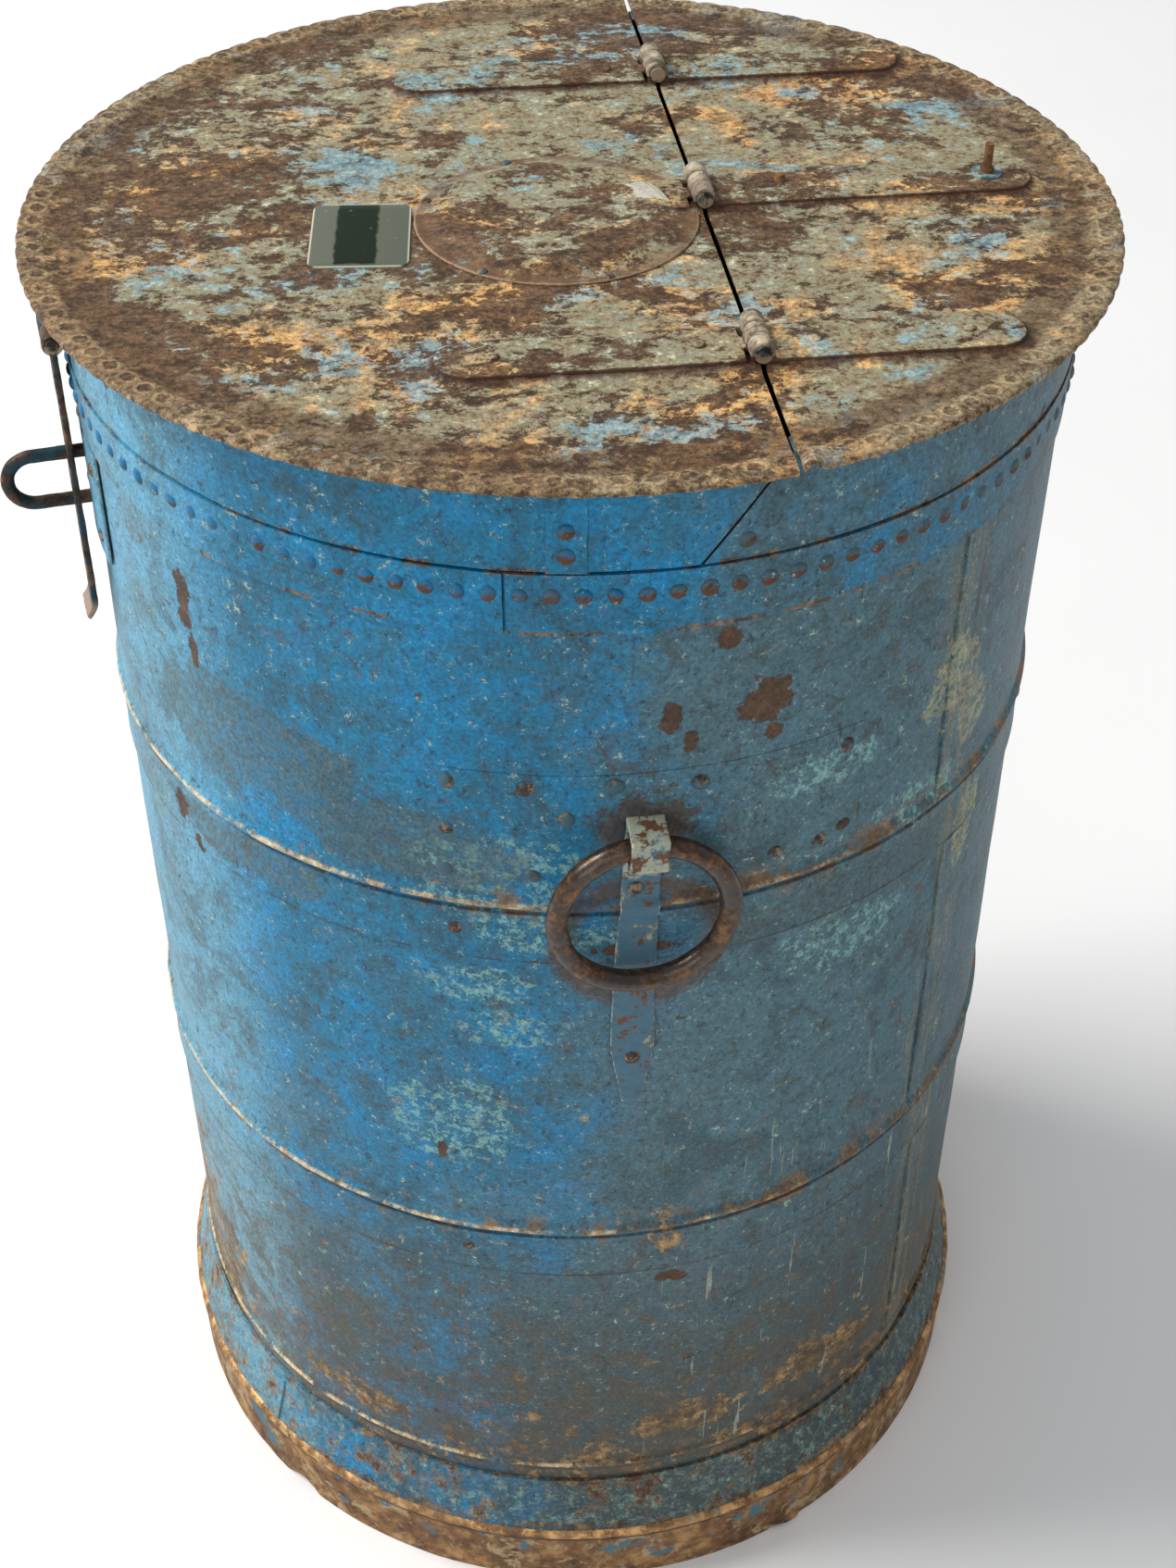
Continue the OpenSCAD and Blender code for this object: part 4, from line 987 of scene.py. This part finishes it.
hammer(lap, lambda az, r, z: (az + 0.2 * lumps(0, 0, z, 18), r + 0.15 * lumps(az, r, z, 9), z))
finish_piece(lap, "lid_flap", skirt_paint)

# The hinges: hand-forged straps with rolled barrels, one pair at each end and a short pair in the
# middle, whose flap leaf is hidden under the patch.
strap_finish, at = start_finish("strap_coat")
edge = at.edges()
coat, height, crumb = flaked(at, warm=-0.02, bare=0.022)
x, y, z = at.parts()
# Painted shade: dark brown on the straps' sides, which face sideways rather than up.
shaded_flank = (at.facing().parts()[2] + (crumb - 0.5) * 0.8).rise(0.92, 0.55)
coat = (shaded_flank * 0.9).paint(coat, crumb.paint(tint(48, 30, 21), tint(96, 62, 42)))
knuckle = z.rise(0.9402, 0.9412)
coat = (knuckle * 0.85).paint(coat, crumb.rise(0.35, 0.65).paint(
    tint(84, 72, 58), tint(190, 176, 152)))
coat = (edge.rise(0.52, 0.55) * crumb.rise(0.52, 0.62) * 0.7).paint(coat, tint(190, 168, 138))
end_finish(at, coat, 0.68, height, 1.2)
for node, body in [
        ("fixed_leaf_front", "drum"), ("fixed_leaf_middle", "drum"), ("fixed_leaf_back", "drum"),
        ("flap_leaf_front", "lid_flap"), ("flap_leaf_middle", "lid_flap"),
        ("flap_leaf_back", "lid_flap")]:
    forged(node + "_forged", node, body, strap_finish, 1.0, 6, 0.9, 16)

# The round patch lies over the middle leaf, its rim dressed up into a thin lip.
patch_finish, at = start_finish("patch_coat")
coat, height, crumb = flaked(at)
off = at.placed((-PATCH.x * MM, -PATCH.y * MM, 0), (1, 1, 0)).length()
coat = (off.rise(0.066, 0.079) * 0.7).paint(coat, crumb.paint(tint(74, 52, 38), tint(134, 104, 76)))
coat = ((off + (crumb - 0.5) * 0.003).rise(0.0782, 0.0794) * 0.8).paint(coat, tint(158, 130, 104))
pale = at.oval(52, -4, 16, 12)
coat = ((pale + (at.grain(60, 5, 0.7) - 0.5) * 3).rise(1.05, 0.9) * 0.7).paint(
    coat, tint(206, 204, 192))
end_finish(at, coat, 0.62, height, 1.0)
forged("patch_forged", "patch_plate", "lid_flap", patch_finish, 0.9, 2, 0.5, 22)
hammered_heads("patch_heads", "patch_rivets", "lid_flap", bare_rivet, 3, 1.2, True)
hammered_heads("fixed_leaf_heads", "fixed_leaf_rivets", "drum", strap_finish, 4, 1.5,
               True)
hammered_heads("flap_leaf_heads", "flap_leaf_rivets", "lid_flap", strap_finish, 4,
               1.5, True)

# The blank name plate: glossy dark paint on tin, with a darker field down its middle.
plate_finish, at = start_finish("plate_gloss")
centred = at.placed((0.121, 0.032, 0))
x, y, z = centred.node(
    "VectorRotate", {0: centred, 3: math.radians(5)}, rotation_type="Z_AXIS").parts()
field = (x + (at.grain(120, 4) - 0.5) * 0.004 + 0.002).size().rise(0.0125, 0.0105)
field = field * (y + (at.grain(60, 3) - 0.5) * 0.006).rise(-0.036, -0.033)
coat = field.paint(tint(92, 97, 85), tint(8, 28, 6))
rim = x.size().rise(0.0262, 0.0270).either(y.size().rise(0.0366, 0.0374))
coat = rim.paint(coat, tint(186, 186, 168))
coat = at.grain(300, 4, 0.7).rise(0.68, 0.72).paint(coat, tint(150, 150, 134))
end_finish(at, coat, 0.22 + at.grain(40, 4) * 0.1, at.grain(30, 3), 0.15, 0.0, 0.12)
plate = bpy.data.objects.new("name_plate_tin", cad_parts["name_plate"].data.copy())
scene.collection.objects.link(plate)
edit(plate, lambda: bpy.ops.mesh.remove_doubles(threshold=1e-5), outward)
rounded = plate.modifiers.new("Rounded", "BEVEL")
rounded.width, rounded.segments, rounded.limit_method = 0.35 * MM, 2, "ANGLE"
bpy.ops.object.modifier_apply(modifier="Rounded")
finish_piece(plate, "lid_flap", plate_finish, 35, ["name_plate"])

# The hasp hangs from a bracket on the flap's skirt and its slot passes over the staple, which is
# driven through the wall and a plate and clenched inside.
worn_iron, at = start_finish("worn_iron")
edge = at.edges()
flake = at.grain(75, 6, 0.7, 0.3)
coat = flake.ramp([
    (0.0, tint(22, 19, 17)), (0.42, tint(42, 35, 30)), (0.52, tint(74, 54, 40)),
    (0.6, tint(104, 78, 56)), (1.0, tint(150, 130, 106))])
coat = at.grain(28, 6, 0.72).rise(0.50, 0.56).paint(coat, tint(26, 56, 66))
coat = (edge.rise(0.53, 0.56) * flake.rise(0.42, 0.55)).paint(coat, tint(160, 142, 118))
coat = (at.parts()[2].rise(0.722, 0.712) * 0.8).paint(coat, tint(166, 140, 124))
end_finish(at, coat, 0.55, flake, 0.5, 0.3)
forged("hasp_bracket_forged", "hasp_bracket", "lid_flap", worn_iron, 0.9, 3, 0.6, 9)
forged("hasp_forged", "hasp_strap", "hasp", worn_iron, 0.9, 3, 0.8, 12)
forged("staple_forged", "staple", "drum", worn_iron, 0.8, 2, 0.6, 8)
forged("staple_plate_sheet", "staple_plate", "drum", skirt_paint, 1.1, 2, 0.6, 14)

# What is left as drawn: the floor and neck inside, the pins, the stud and its washer.
neck_paint = blue_paint("neck_paint", wall=False, wear=0.06)
inner_rust, at = start_finish("inner_rust")
end_finish(at, rust_colour(at), 0.85, at.grain(70, 6, 0.7), 0.8)
washer_finish, at = start_finish("washer_paint")
end_finish(at, at.grain(160, 5, 0.7).rise(0.45, 0.6).paint(tint(64, 96, 104), tint(150, 160, 152)),
           0.55, at.grain(200, 4), 0.4)
for node, finish in [
        ("bottom_plate", inner_rust), ("collar", neck_paint), ("hinge_pin_front", worn_iron),
        ("hinge_pin_middle", worn_iron), ("hinge_pin_back", worn_iron), ("strap_stud", inner_rust),
        ("stud_washer", washer_finish), ("rivet_stump", inner_rust), ("hasp_pin", worn_iron)]:
    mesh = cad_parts[node].data
    mesh.materials.clear()
    mesh.materials.append(finish)
